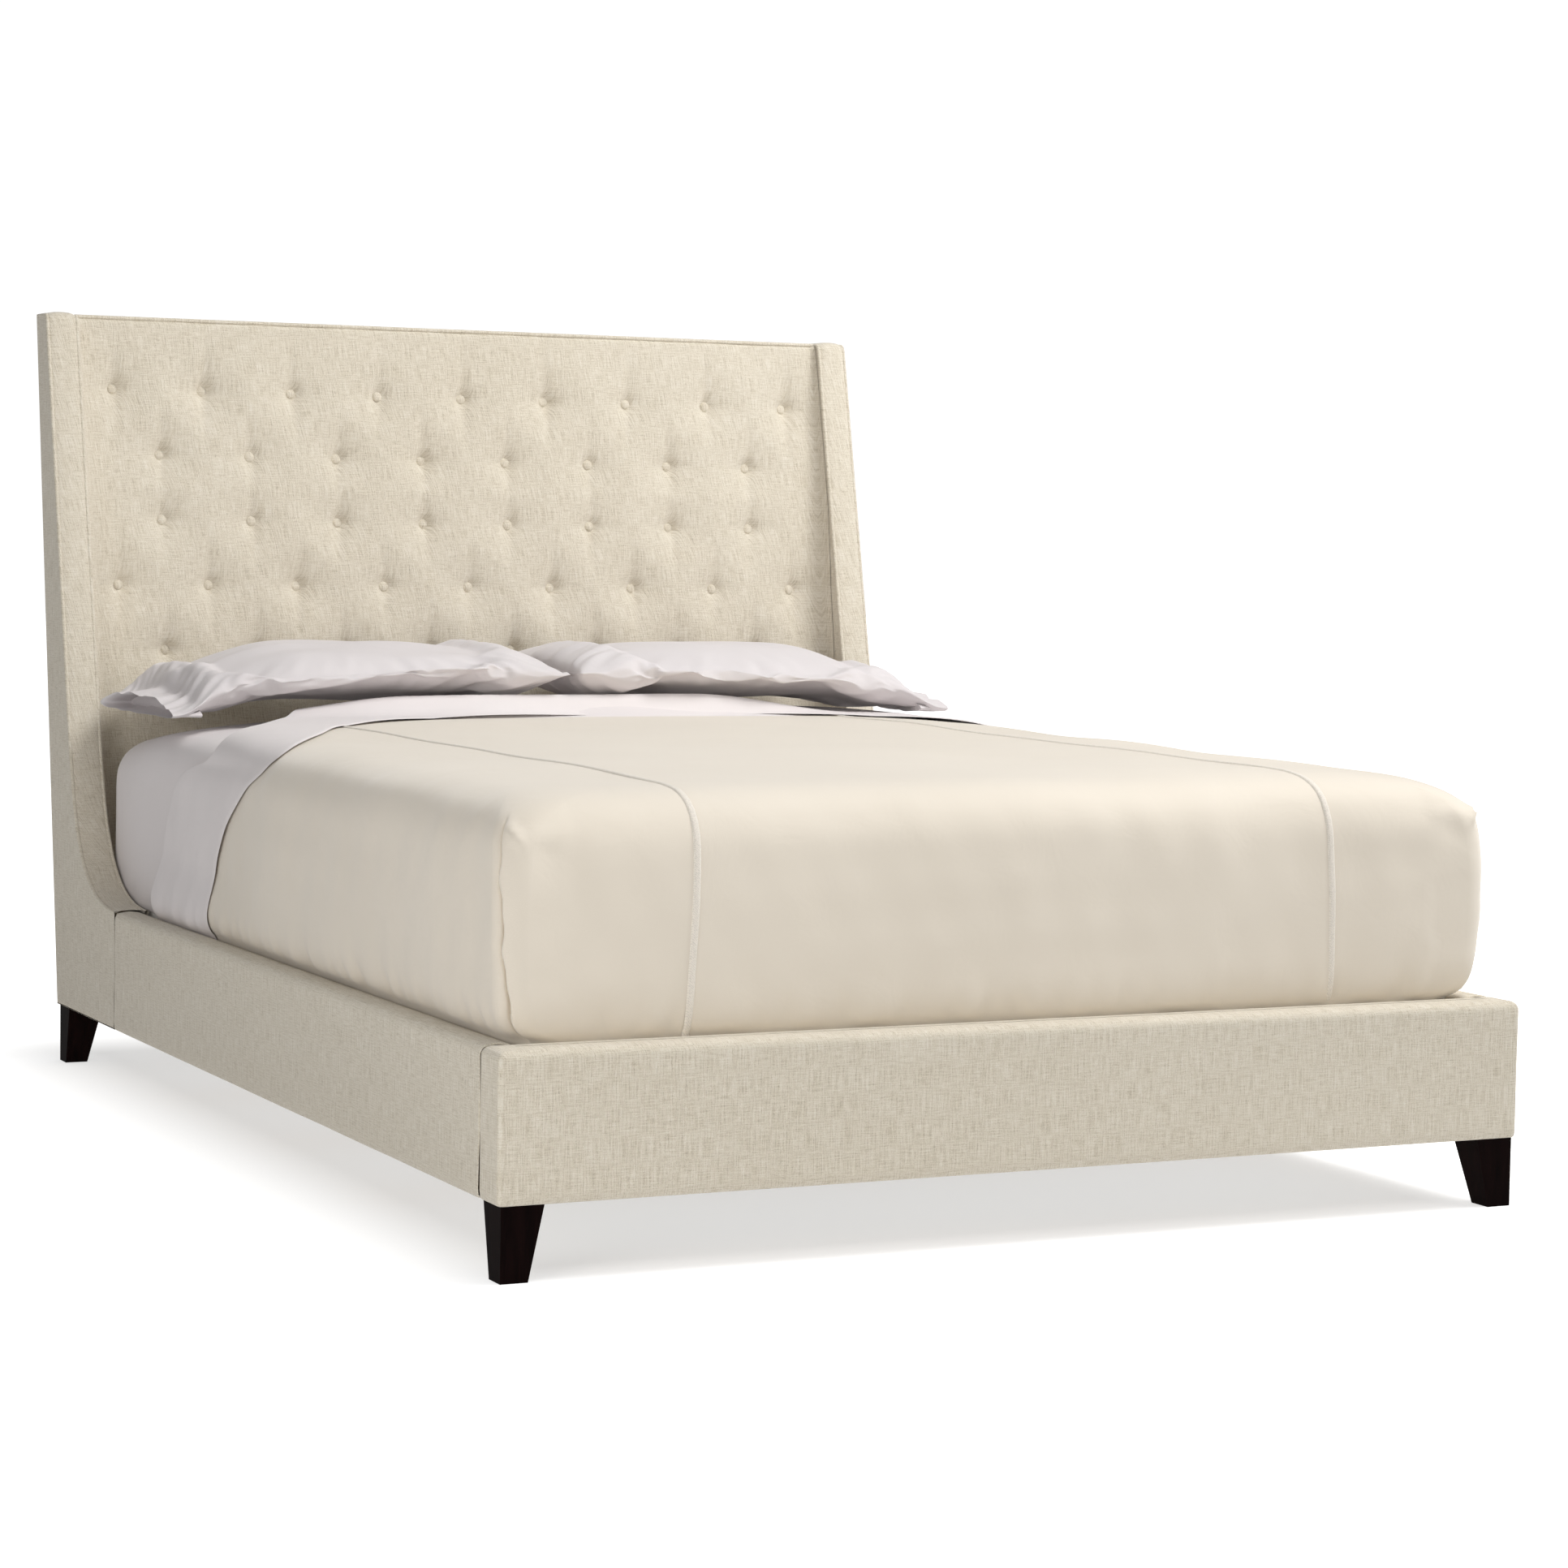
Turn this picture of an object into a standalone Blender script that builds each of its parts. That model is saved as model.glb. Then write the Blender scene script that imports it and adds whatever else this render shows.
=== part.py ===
"""Upholstered queen bed with a raked, button-tufted headboard and shelter wings.

Metres, +Z up. X runs across the bed, +Y towards the head, and the origin is on the floor at the
middle of the whole bed. Lengths along the bed are given from the front of the foot rail.
"""

import math

import bmesh
import bpy
from mathutils import Vector

# ---- Driving dimensions -------------------------------------------------------------------------

BED_WIDTH = 1.65
BED_HEIGHT = 1.3735
RAIL_BOTTOM = 0.104
RAIL_TOP = 0.3126
GAP = 0.0003

# The headboard leans back: its rear plane meets the floor here and moves back as it rises.
REAR_AT_FLOOR = 2.193
LEAN_PER_HEIGHT = 0.128
LEAN_ANGLE = math.atan(LEAN_PER_HEIGHT)
BED_DEPTH = REAR_AT_FLOOR + LEAN_PER_HEIGHT * BED_HEIGHT
FOOT_Y = -BED_DEPTH / 2

# Wings
WING_THICKNESS = 0.0625
WING_SEAM = 1.826
WING_FRONT_TOP = 2.2985
WING_FRONT_SLOPE = 0.218
WING_CURVE_TOP = 0.62
WING_CURVE_PULL = 0.19
WING_CURVE_FOOT = 2.05
WING_CURVE_STEPS = 12
WING_COVER = 0.0165
CORNER_SPACE = 0.009
BAND_THICKNESS = 0.011
WELT_RADIUS = 0.0038
WELT_INSET = 0.0045

# Headboard panel, measured square to its leaning rear plane
PANEL_DEPTH = 0.050
PANEL_HALF_WIDTH = 0.7608
PANEL_TOP = 1.372
PAD_TOP = 1.369
PAD_BOTTOM = 0.40
PAD_THICKNESS = 0.0238
BOARD_THICKNESS = 0.0070
FRAME_THICKNESS = 0.0145
BACK_COVER_THICKNESS = 0.0032
FRAME_BOTTOM = 0.15
STILE_WIDTH = 0.060
TOP_RAIL_HEIGHT = 0.060
BOTTOM_RAIL_HEIGHT = 0.100

# Buttons
BUTTON_COLUMNS = (9, 8, 8, 9, 8)
BUTTON_PITCH = 0.1734
BUTTON_TOP_ROW = 1.2379
BUTTON_ROW_PITCH = 0.1211
BUTTON_RADIUS = 0.0095
BUTTON_CROWN = 0.0022
BUTTON_RIM = 0.0045
BUTTON_SINK = 0.006
BUTTON_RECESS_RADIUS = 0.0118
SHANK_RADIUS = 0.0018
SHANK_HOLE_RADIUS = 0.0030
TWINE_SIZE = 0.0016
ROUND_SIDES = 8

# Rails
SIDE_RAIL_THICKNESS = 0.052
FOOT_RAIL_THICKNESS = 0.075
RAIL_SKIN_OUTER = 0.010
RAIL_SKIN_INNER = 0.0042
RAIL_SKIN_TOP = 0.014
RAIL_ROUND = 0.012
CORE_LIFT = 0.004

# Legs and supports
LEG_TOP = 0.0625
LEG_BOTTOM = 0.040
LEG_INSET = 0.006
LEDGER_BOTTOM = 0.118
LEDGER_SIZE = 0.025
LEDGER_START = 0.145
LEDGER_END = 1.735
SLAT_THICKNESS = 0.019
SLAT_WIDTH = 0.070
SLAT_CENTRES = (0.66, 1.18, 1.69)
CENTRE_LEG_HALF = 0.022
GLIDE_RADIUS = 0.017
GLIDE_HEIGHT = 0.008
GLIDE_FLOOR_GAP = 0.001
GLIDE_TRAVEL = 0.012
STEM_RADIUS = 0.0040
STEM_BORE_RADIUS = 0.0046
STEM_LENGTH = 0.040
STEM_BORE_DEPTH = 0.045
BORE_OVERSHOOT = 0.010
GLIDE_ROUND = 0.0015
BRACKET_THICKNESS = 0.003
BRACKET_BOTTOM = 0.112
BRACKET_TOP = 0.160
BRACKET_REACH = 0.060

# Bedding
MATTRESS_HALF_WIDTH = 0.755
MATTRESS_FOOT = 0.095
MATTRESS_LENGTH = 2.020
MATTRESS_ROUND = 0.045
FOUNDATION_ROUND = 0.040
ROUND_STEPS = 4
FOUNDATION_HEIGHT = 0.168
MATTRESS_HEIGHT = 0.302
COVER_SKIN = 0.0025
FITTED_SKIN = 0.0017
SHEET_SKIN = 0.0015
COVERLET_SKIN = 0.0060
LAYER_GAP = 0.0012
BEDDING_HEM = 0.300
FITTED_HEM = 0.345
CUFF_FOLD = 1.820
CUFF_EDGE = 1.500
SHEET_FOOT = 0.160

# Pillows
PILLOW_LENGTH = 0.748
PILLOW_DEPTH = 0.480
PILLOW_HEIGHT = 0.165
PILLOW_BELOW = 0.38
PILLOW_FRONT = 1.715
PILLOW_REST = 0.650
PILLOW_OUTER_X = 0.757
PILLOW_SKIN = 0.003
PILLOW_COLUMNS = 12
PILLOW_ROWS = 8

HALF_WIDTH = BED_WIDTH / 2
SLAT_TOP = LEDGER_BOTTOM + LEDGER_SIZE + GAP + SLAT_THICKNESS
SIDE_INNER_X = HALF_WIDTH - SIDE_RAIL_THICKNESS
WING_INNER_X = HALF_WIDTH - WING_THICKNESS
PILLOW_SIZE = (PILLOW_LENGTH, PILLOW_DEPTH, PILLOW_HEIGHT)
SIDES = (("left", -1), ("right", 1))

# name: colour, roughness, metallic
FINISHES = {
    "oatmeal_fabric": ((0.72, 0.66, 0.56, 1), 0.92, 0.0),
    "frame_lumber": ((0.62, 0.46, 0.28, 1), 0.70, 0.0),
    "espresso_wood": ((0.020, 0.010, 0.009, 1), 0.38, 0.0),
    "zinc_steel": ((0.60, 0.61, 0.62, 1), 0.35, 1.0),
    "black_plastic": ((0.03, 0.03, 0.03, 1), 0.55, 0.0),
    "white_sheet": ((0.84, 0.81, 0.80, 1), 0.85, 0.0),
    "cream_coverlet": ((0.78, 0.70, 0.60, 1), 0.88, 0.0),
    "ticking": ((0.86, 0.85, 0.82, 1), 0.90, 0.0),
}

# ---- Helpers ------------------------------------------------------------------------------------


def clear_scene():
    for item in list(bpy.data.objects):
        bpy.data.objects.remove(item)


def from_foot(distance):
    """The Y of a point that lies this far behind the front of the foot rail."""
    return FOOT_Y + distance


def make_finishes():
    finishes = {}
    for name, (colour, roughness, metallic) in FINISHES.items():
        material = bpy.data.materials.new(name)
        material.use_nodes = True
        shader = material.node_tree.nodes["Principled BSDF"]
        shader.inputs["Base Color"].default_value = colour
        shader.inputs["Roughness"].default_value = roughness
        shader.inputs["Metallic"].default_value = metallic
        finishes[name] = material
    return finishes


def add_mesh(name, mesh_builder, finish, parent=None, turn_faces=True):
    """One named object from a bmesh, with its faces turned outwards."""
    if turn_faces:
        bmesh.ops.recalc_face_normals(mesh_builder, faces=mesh_builder.faces)
    mesh = bpy.data.meshes.new(name)
    mesh_builder.to_mesh(mesh)
    mesh_builder.free()
    item = bpy.data.objects.new(name, mesh)
    bpy.context.scene.collection.objects.link(item)
    item.parent = parent
    if finish:
        mesh.materials.append(FINISH[finish])
    return item


def prism_mesh(outline, axis, start, end):
    """A flat outline swept straight along X, Y or Z.

    The outline's points are (Y, Z) for a sweep along X, (X, Z) along Y and (X, Y) along Z.
    """

    def place(point, along):
        a, b = point
        if axis == "X":
            return Vector((along, a, b))
        if axis == "Y":
            return Vector((a, along, b))
        return Vector((a, b, along))

    builder = bmesh.new()
    rings = []
    for along in (start, end):
        rings.append([builder.verts.new(place(point, along)) for point in outline])
    builder.faces.new(rings[0])
    builder.faces.new(rings[1])
    count = len(outline)
    for i in range(count):
        j = (i + 1) % count
        builder.faces.new((rings[0][i], rings[0][j], rings[1][j], rings[1][i]))
    return builder


def prism(name, outline, axis, start, end, finish, parent=None):
    return add_mesh(name, prism_mesh(outline, axis, start, end), finish, parent)


def box(name, low, high, finish, parent=None):
    outline = [(low[0], low[1]), (high[0], low[1]), (high[0], high[1]), (low[0], high[1])]
    return prism(name, outline, "Z", low[2], high[2], finish, parent)


def rounded_block_mesh(low, high, radius, flat_ends=()):
    """A box whose top and upright edges are rounded; edges at a flat end stay square."""
    outline = [(low[0], low[1]), (high[0], low[1]), (high[0], high[1]), (low[0], high[1])]
    builder = prism_mesh(outline, "Z", low[2], high[2])
    tolerance = 1e-6
    rounded = []
    for edge in builder.edges:
        points = [vert.co for vert in edge.verts]
        on_bottom = all(abs(point.z - low[2]) < tolerance for point in points)
        on_flat_end = any(all(abs(point.y - end) < tolerance for point in points) for end in flat_ends)
        if not (on_bottom or on_flat_end):
            rounded.append(edge)
    bmesh.ops.bevel(
        builder, geom=rounded, offset=radius, segments=ROUND_STEPS, profile=0.5, affect="EDGES"
    )
    return builder


def boolean(item, cutter, operation):
    """Joins or cuts an item with a hidden guide object."""
    cutter.hide_render = True
    cutter.display_type = "WIRE"
    modifier = item.modifiers.new(operation.lower(), "BOOLEAN")
    modifier.operation = operation
    modifier.object = cutter


def tray(name, low, high, skin, radius, finish, open_head=False):
    """A thin cover over a block, open underneath and, if asked, at the head end."""
    flat_ends = (high[1],) if open_head else ()
    cover = add_mesh(name, rounded_block_mesh(low, high, radius, flat_ends=flat_ends), finish)
    overshoot = 0.02
    inner_high_y = high[1] + overshoot if open_head else high[1] - skin
    inner_low = (low[0] + skin, low[1] + skin, low[2] - overshoot)
    inner_high = (high[0] - skin, inner_high_y, high[2] - skin)
    inner_flat = (inner_high_y,) if open_head else ()
    inside = add_mesh(
        name + "_inside",
        rounded_block_mesh(inner_low, inner_high, radius - skin, flat_ends=inner_flat),
        None,
    )
    boolean(cover, inside, "DIFFERENCE")
    return cover


def tube(name, path, radius, finish):
    """A cord along a list of points."""
    curve = bpy.data.curves.new(name, "CURVE")
    curve.dimensions = "3D"
    curve.bevel_depth = radius
    curve.bevel_resolution = 1
    curve.use_fill_caps = True
    spline = curve.splines.new("POLY")
    spline.points.add(len(path) - 1)
    for spot, point in zip(spline.points, path):
        spot.co = (*point, 1)
    curve.materials.append(FINISH[finish])
    item = bpy.data.objects.new(name, curve)
    bpy.context.scene.collection.objects.link(item)
    return item


def stacked_rings_mesh(rings):
    """A closed shape through a stack of rings of points, capped at both ends."""
    builder = bmesh.new()
    rings = [[builder.verts.new(point) for point in ring] for ring in rings]
    count = len(rings[0])
    for lower, upper in zip(rings, rings[1:]):
        for k in range(count):
            m = (k + 1) % count
            builder.faces.new((lower[k], lower[m], upper[m], upper[k]))
    builder.faces.new(rings[0])
    builder.faces.new(rings[-1])
    return builder


def circle(sides):
    """The cosine and sine of each corner's angle."""
    angles = [2 * math.pi * k / sides for k in range(sides)]
    return [(math.cos(angle), math.sin(angle)) for angle in angles]


def turned_mesh(profile, x, z):
    """A closed shape turned about a line along Y; profile holds (Y, radius)."""
    return stacked_rings_mesh(
        [[(x + r * c, y, z + r * s) for c, s in circle(ROUND_SIDES)] for y, r in profile]
    )


def upright_mesh(centre, profile):
    """A closed shape turned about a vertical line; profile holds (Z, radius)."""
    x, y = centre
    return stacked_rings_mesh(
        [[(x + r * c, y + r * s, z) for c, s in circle(2 * ROUND_SIDES)] for z, r in profile]
    )


def merge_meshes(builders):
    """Several separate shapes in one bmesh."""
    whole = bmesh.new()
    for builder in builders:
        part = bpy.data.meshes.new("part")
        builder.to_mesh(part)
        builder.free()
        whole.from_mesh(part)
        bpy.data.meshes.remove(part)
    return whole


# ---- Wings --------------------------------------------------------------------------------------


def rear_y(height):
    """The leaning rear plane at this height, from the foot."""
    return REAR_AT_FLOOR + LEAN_PER_HEIGHT * height


def wing_front_line(inset):
    """The wing's front edge from its top down into the rail, moved inwards by the inset."""
    curve_start = Vector(
        (WING_FRONT_TOP - WING_FRONT_SLOPE * (BED_HEIGHT - WING_CURVE_TOP), WING_CURVE_TOP)
    )
    down = Vector((-WING_FRONT_SLOPE, -1)).normalized()
    controls = [
        curve_start,
        curve_start + down * WING_CURVE_PULL,
        Vector((WING_CURVE_FOOT, RAIL_TOP)),
        Vector((WING_SEAM, RAIL_TOP)),
    ]
    points = []
    for i in range(WING_CURVE_STEPS + 1):
        t = i / WING_CURVE_STEPS
        s = 1 - t
        a, b, c, d = controls
        spot = s**3 * a + 3 * s * s * t * b + 3 * s * t * t * c + t**3 * d
        run = 3 * s * s * (b - a) + 6 * s * t * (c - b) + 3 * t * t * (d - c)
        inward = Vector((-run.y, run.x)).normalized()
        points.append(spot + inward * inset)
    points[-1].x = WING_SEAM + GAP
    first = points[0]
    top_z = BED_HEIGHT - inset
    top = Vector((first.x + WING_FRONT_SLOPE * (top_z - first.y), top_z))
    return [top] + points


def wing_outline(inset):
    """The wing's side shape, with its front and top edges moved inwards by the inset."""
    front = wing_front_line(inset)
    bottom_front = Vector((WING_SEAM + GAP, RAIL_BOTTOM))
    bottom_rear = Vector((rear_y(RAIL_BOTTOM), RAIL_BOTTOM))
    top_rear = Vector((rear_y(BED_HEIGHT - inset), BED_HEIGHT - inset))
    outline = [bottom_front, bottom_rear, top_rear] + front
    return [(from_foot(point.x), point.y) for point in outline]


def band_outline():
    """A strip that follows the wing's front and top edges."""
    outer = wing_front_line(0)
    inner = wing_front_line(BAND_THICKNESS)
    outer.insert(0, Vector((rear_y(BED_HEIGHT), BED_HEIGHT)))
    inner_top = BED_HEIGHT - BAND_THICKNESS
    inner.insert(0, Vector((rear_y(inner_top), inner_top)))
    return [(from_foot(point.x), point.y) for point in outer + inner[::-1]]


def make_wing(side, sign):
    def across(near, far):
        return sorted((sign * near, sign * far))

    cover_inner = HALF_WIDTH - WING_COVER
    pad_outer = WING_INNER_X + WING_COVER
    board = across(cover_inner - GAP * 2, pad_outer + GAP * 2)
    cover_shape = wing_outline(CORNER_SPACE)
    prism(
        f"wing_outer_cover_{side}",
        cover_shape,
        "X",
        *across(HALF_WIDTH, cover_inner),
        "oatmeal_fabric",
    )
    prism(
        f"wing_inner_pad_{side}",
        cover_shape,
        "X",
        *across(WING_INNER_X, pad_outer),
        "oatmeal_fabric",
    )
    prism(
        f"wing_board_{side}", wing_outline(BAND_THICKNESS + GAP * 2), "X", *board, "frame_lumber"
    )
    prism(f"wing_front_band_{side}", band_outline(), "X", *board, "oatmeal_fabric")
    welt_x = sign * (HALF_WIDTH - WELT_INSET)
    path = wing_front_line(WELT_INSET)
    path.insert(0, Vector((rear_y(BED_HEIGHT) - CORNER_SPACE, BED_HEIGHT - WELT_INSET)))
    tube(
        f"wing_outer_welt_{side}",
        [(welt_x, from_foot(point.x), point.y) for point in path],
        WELT_RADIUS,
        "oatmeal_fabric",
    )


def make_inner_welt():
    """One cord: up the inner front edge of a wing, along the headboard's top, and down the other."""
    welt_x = WING_INNER_X + WELT_INSET
    rise = [(from_foot(point.x), point.y) for point in wing_front_line(WELT_INSET)[::-1]]
    top_z = BED_HEIGHT - WELT_INSET
    along_y = from_foot(rear_y(top_z)) - PANEL_DEPTH + WELT_INSET
    left = [(-welt_x, y, z) for y, z in rise] + [(-welt_x, along_y, top_z)]
    right = [(welt_x, along_y, top_z)] + [(welt_x, y, z) for y, z in rise[::-1]]
    tube("inner_welt", left + right, WELT_RADIUS, "oatmeal_fabric")


# ---- Headboard panel ----------------------------------------------------------------------------


def button_places(row):
    """Where one row's buttons stand in the panel's own plane, as (X, Z)."""
    count = BUTTON_COLUMNS[row]
    height = (BUTTON_TOP_ROW - row * BUTTON_ROW_PITCH) / math.cos(LEAN_ANGLE)
    return [((column - (count - 1) / 2) * BUTTON_PITCH, height) for column in range(count)]


def drill(item, radius, depth_range, tilt):
    """Cuts a hole through the item at every button."""
    holes = []
    for row in range(len(BUTTON_COLUMNS)):
        for x, z in button_places(row):
            profile = [(depth_range[0], radius), (depth_range[1], radius)]
            holes.append(turned_mesh(profile, x, z))
    drills = add_mesh(item.name + "_drills", merge_meshes(holes), None, tilt)
    boolean(item, drills, "DIFFERENCE")


def make_button_row(row, twine_y, button_y, tilt):
    """Covered buttons on shanks, tied to one run of twine behind the board."""
    places = button_places(row)
    half = TWINE_SIZE / 2
    reach = places[-1][0] + 2 * TWINE_SIZE
    height = places[0][1]
    twine = box(
        f"button_row_{row + 1}",
        (-reach, twine_y - half, height - half),
        (reach, twine_y + half, height + half),
        "oatmeal_fabric",
        tilt,
    )
    crown = BUTTON_CROWN
    rim = BUTTON_RIM
    turned = []
    for x, z in places:
        profile = [
            (button_y - crown, BUTTON_RADIUS * 0.45),
            (button_y, BUTTON_RADIUS * 0.86),
            (button_y + rim * 0.5, BUTTON_RADIUS),
            (button_y + rim, BUTTON_RADIUS * 0.80),
            (button_y + rim + 0.0005, SHANK_RADIUS),
            (twine_y, SHANK_RADIUS),
        ]
        turned.append(turned_mesh(profile, x, z))
    buttons = add_mesh(f"button_row_{row + 1}_turned", merge_meshes(turned), None, tilt)
    boolean(twine, buttons, "UNION")


def make_headboard():
    tilt = bpy.data.objects.new("headboard_tilt", None)
    bpy.context.scene.collection.objects.link(tilt)
    tilt.location = (0, from_foot(REAR_AT_FLOOR), 0)
    tilt.rotation_euler = (-LEAN_ANGLE, 0, 0)

    back = -BACK_COVER_THICKNESS
    frame_rear = back - GAP
    frame_front = frame_rear - FRAME_THICKNESS
    board_rear = frame_front - GAP
    board_front = board_rear - BOARD_THICKNESS
    pad_rear = board_front - GAP
    wide = PANEL_HALF_WIDTH
    stile_inner = wide - STILE_WIDTH

    def slab(name, x0, x1, front, rear, z0, z1, finish):
        return box(name, (x0, front, z0), (x1, rear, z1), finish, tilt)

    slab("headboard_back_cover", -wide, wide, back, 0, FRAME_BOTTOM, PANEL_TOP, "oatmeal_fabric")
    for side, sign in SIDES:
        x0, x1 = sorted((sign * stile_inner, sign * wide))
        slab(
            f"headboard_stile_{side}",
            x0,
            x1,
            frame_front,
            frame_rear,
            FRAME_BOTTOM,
            PANEL_TOP,
            "frame_lumber",
        )
    inner = stile_inner - GAP
    for name, z0, z1 in (
        ("headboard_top_rail", PANEL_TOP - TOP_RAIL_HEIGHT, PANEL_TOP),
        ("headboard_bottom_rail", FRAME_BOTTOM, FRAME_BOTTOM + BOTTOM_RAIL_HEIGHT),
    ):
        slab(name, -inner, inner, frame_front, frame_rear, z0, z1, "frame_lumber")
    board = slab(
        "headboard_board",
        -wide,
        wide,
        board_front,
        board_rear,
        FRAME_BOTTOM,
        PANEL_TOP,
        "frame_lumber",
    )
    pad = slab(
        "headboard_tufted_pad",
        -wide,
        wide,
        pad_rear - PAD_THICKNESS,
        pad_rear,
        PAD_BOTTOM,
        PAD_TOP,
        "oatmeal_fabric",
    )
    past_panel = (-PANEL_DEPTH - 0.02, 0.01)
    drill(board, SHANK_HOLE_RADIUS, past_panel, tilt)
    drill(pad, BUTTON_RECESS_RADIUS, past_panel, tilt)
    twine_y = frame_front + TWINE_SIZE / 2 + GAP
    button_y = -PANEL_DEPTH + BUTTON_SINK
    for row in range(len(BUTTON_COLUMNS)):
        make_button_row(row, twine_y, button_y, tilt)


# ---- Rails, legs and supports -------------------------------------------------------------------


def round_corner(centre, radius, start_angle, steps=3):
    """Points on a quarter circle, turning anticlockwise."""
    points = []
    for i in range(steps + 1):
        angle = start_angle + math.pi / 2 * i / steps
        points.append(
            (centre[0] + radius * math.cos(angle), centre[1] + radius * math.sin(angle))
        )
    return points


def make_side_rail(side, sign):
    outer = HALF_WIDTH
    inner = SIDE_INNER_X
    start = from_foot(FOOT_RAIL_THICKNESS + GAP)
    end = from_foot(WING_SEAM)
    core_outer = outer - RAIL_SKIN_OUTER
    core_inner = inner + RAIL_SKIN_INNER
    core_top = RAIL_TOP - RAIL_SKIN_TOP
    shell = [(outer, RAIL_BOTTOM)]
    shell += round_corner((outer - RAIL_ROUND, RAIL_TOP - RAIL_ROUND), RAIL_ROUND, 0)
    shell += round_corner((inner + RAIL_ROUND, RAIL_TOP - RAIL_ROUND), RAIL_ROUND, math.pi / 2)
    shell += [
        (inner, RAIL_BOTTOM),
        (core_inner, RAIL_BOTTOM),
        (core_inner, core_top),
        (core_outer, core_top),
        (core_outer, RAIL_BOTTOM),
    ]
    shell = [(sign * x, z) for x, z in shell]
    prism(f"side_rail_cover_{side}", shell, "Y", start, end, "oatmeal_fabric")
    x0, x1 = sorted((sign * (core_inner + GAP), sign * (core_outer - GAP)))
    box(
        f"side_rail_core_{side}",
        (x0, start, RAIL_BOTTOM + CORE_LIFT),
        (x1, end, core_top - GAP),
        "frame_lumber",
    )
    x0, x1 = sorted((sign * (inner - GAP), sign * (inner - GAP - LEDGER_SIZE)))
    box(
        f"side_ledger_{side}",
        (x0, from_foot(LEDGER_START), LEDGER_BOTTOM),
        (x1, from_foot(LEDGER_END), LEDGER_BOTTOM + LEDGER_SIZE),
        "frame_lumber",
    )


def make_foot_rail():
    low = (-HALF_WIDTH, from_foot(0), RAIL_BOTTOM)
    high = (HALF_WIDTH, from_foot(FOOT_RAIL_THICKNESS), RAIL_TOP)
    skin = RAIL_SKIN_OUTER
    cover = add_mesh("foot_rail_cover", rounded_block_mesh(low, high, RAIL_ROUND), "oatmeal_fabric")
    cut_low = (low[0] + skin, low[1] + skin, low[2] - 0.02)
    cut_high = (high[0] - skin, high[1] - RAIL_SKIN_INNER, high[2] - RAIL_SKIN_TOP)
    inside = box("foot_rail_cover_inside", cut_low, cut_high, None)
    boolean(cover, inside, "DIFFERENCE")
    core_low = (cut_low[0] + GAP, cut_low[1] + GAP, RAIL_BOTTOM + CORE_LIFT)
    core_high = (cut_high[0] - GAP, cut_high[1] - GAP, cut_high[2] - GAP)
    box("foot_rail_core", core_low, core_high, "frame_lumber")


def make_leg(name, x_sign, outer_y, towards_middle):
    """A leg with upright outer faces, tapered on its two inner faces only."""
    outer_x = x_sign * (HALF_WIDTH - LEG_INSET)
    builder = bmesh.new()
    rings = []
    for size, z in ((LEG_BOTTOM, 0), (LEG_TOP, RAIL_BOTTOM - GAP)):
        inner_x = outer_x - x_sign * size
        inner_y = outer_y + towards_middle * size
        corners = [(outer_x, outer_y), (inner_x, outer_y), (inner_x, inner_y), (outer_x, inner_y)]
        rings.append([builder.verts.new((x, y, z)) for x, y in corners])
    builder.faces.new(rings[0])
    builder.faces.new(rings[1])
    for i in range(4):
        j = (i + 1) % 4
        builder.faces.new((rings[0][i], rings[0][j], rings[1][j], rings[1][i]))
    add_mesh(name, builder, "espresso_wood")


def make_legs():
    front_y = from_foot(LEG_INSET)
    rear = from_foot(rear_y(RAIL_BOTTOM) - LEG_INSET)
    for side, sign in SIDES:
        make_leg(f"leg_front_{side}", sign, front_y, 1)
        make_leg(f"leg_rear_{side}", sign, rear, -1)


def make_centre_leg(number, y, top):
    """A post under a slat, with a levelling glide whose stem screws up into a bore in the post."""
    glide_top = GLIDE_FLOOR_GAP + GLIDE_HEIGHT
    leg_bottom = glide_top + GLIDE_TRAVEL
    side = CENTRE_LEG_HALF
    name = f"centre_leg_{number}"
    leg = box(name, (-side, y - side, leg_bottom), (side, y + side, top), "frame_lumber")
    bore_ends = (leg_bottom - BORE_OVERSHOOT, leg_bottom + STEM_BORE_DEPTH)
    bore = upright_mesh((0, y), [(z, STEM_BORE_RADIUS) for z in bore_ends])
    boolean(leg, add_mesh(f"{name}_bore", bore, None), "DIFFERENCE")
    profile = [
        (GLIDE_FLOOR_GAP, GLIDE_RADIUS - GLIDE_ROUND),
        (GLIDE_FLOOR_GAP + GLIDE_ROUND, GLIDE_RADIUS),
        (glide_top - GLIDE_ROUND, GLIDE_RADIUS),
        (glide_top, STEM_RADIUS * 2),
        (glide_top, STEM_RADIUS),
        (glide_top + STEM_LENGTH, STEM_RADIUS),
    ]
    add_mesh(f"centre_glide_{number}", upright_mesh((0, y), profile), "black_plastic")


def make_supports():
    """Cross slats on the ledgers, each with a post and a glide at its middle."""
    slat_bottom = SLAT_TOP - SLAT_THICKNESS
    for number, centre in enumerate(SLAT_CENTRES, 1):
        y = from_foot(centre)
        half = SLAT_WIDTH / 2
        box(
            f"cross_slat_{number}",
            (-SIDE_INNER_X + 2 * GAP, y - half, slat_bottom),
            (SIDE_INNER_X - 2 * GAP, y + half, SLAT_TOP),
            "frame_lumber",
        )
        make_centre_leg(number, y, slat_bottom - GAP)


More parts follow.
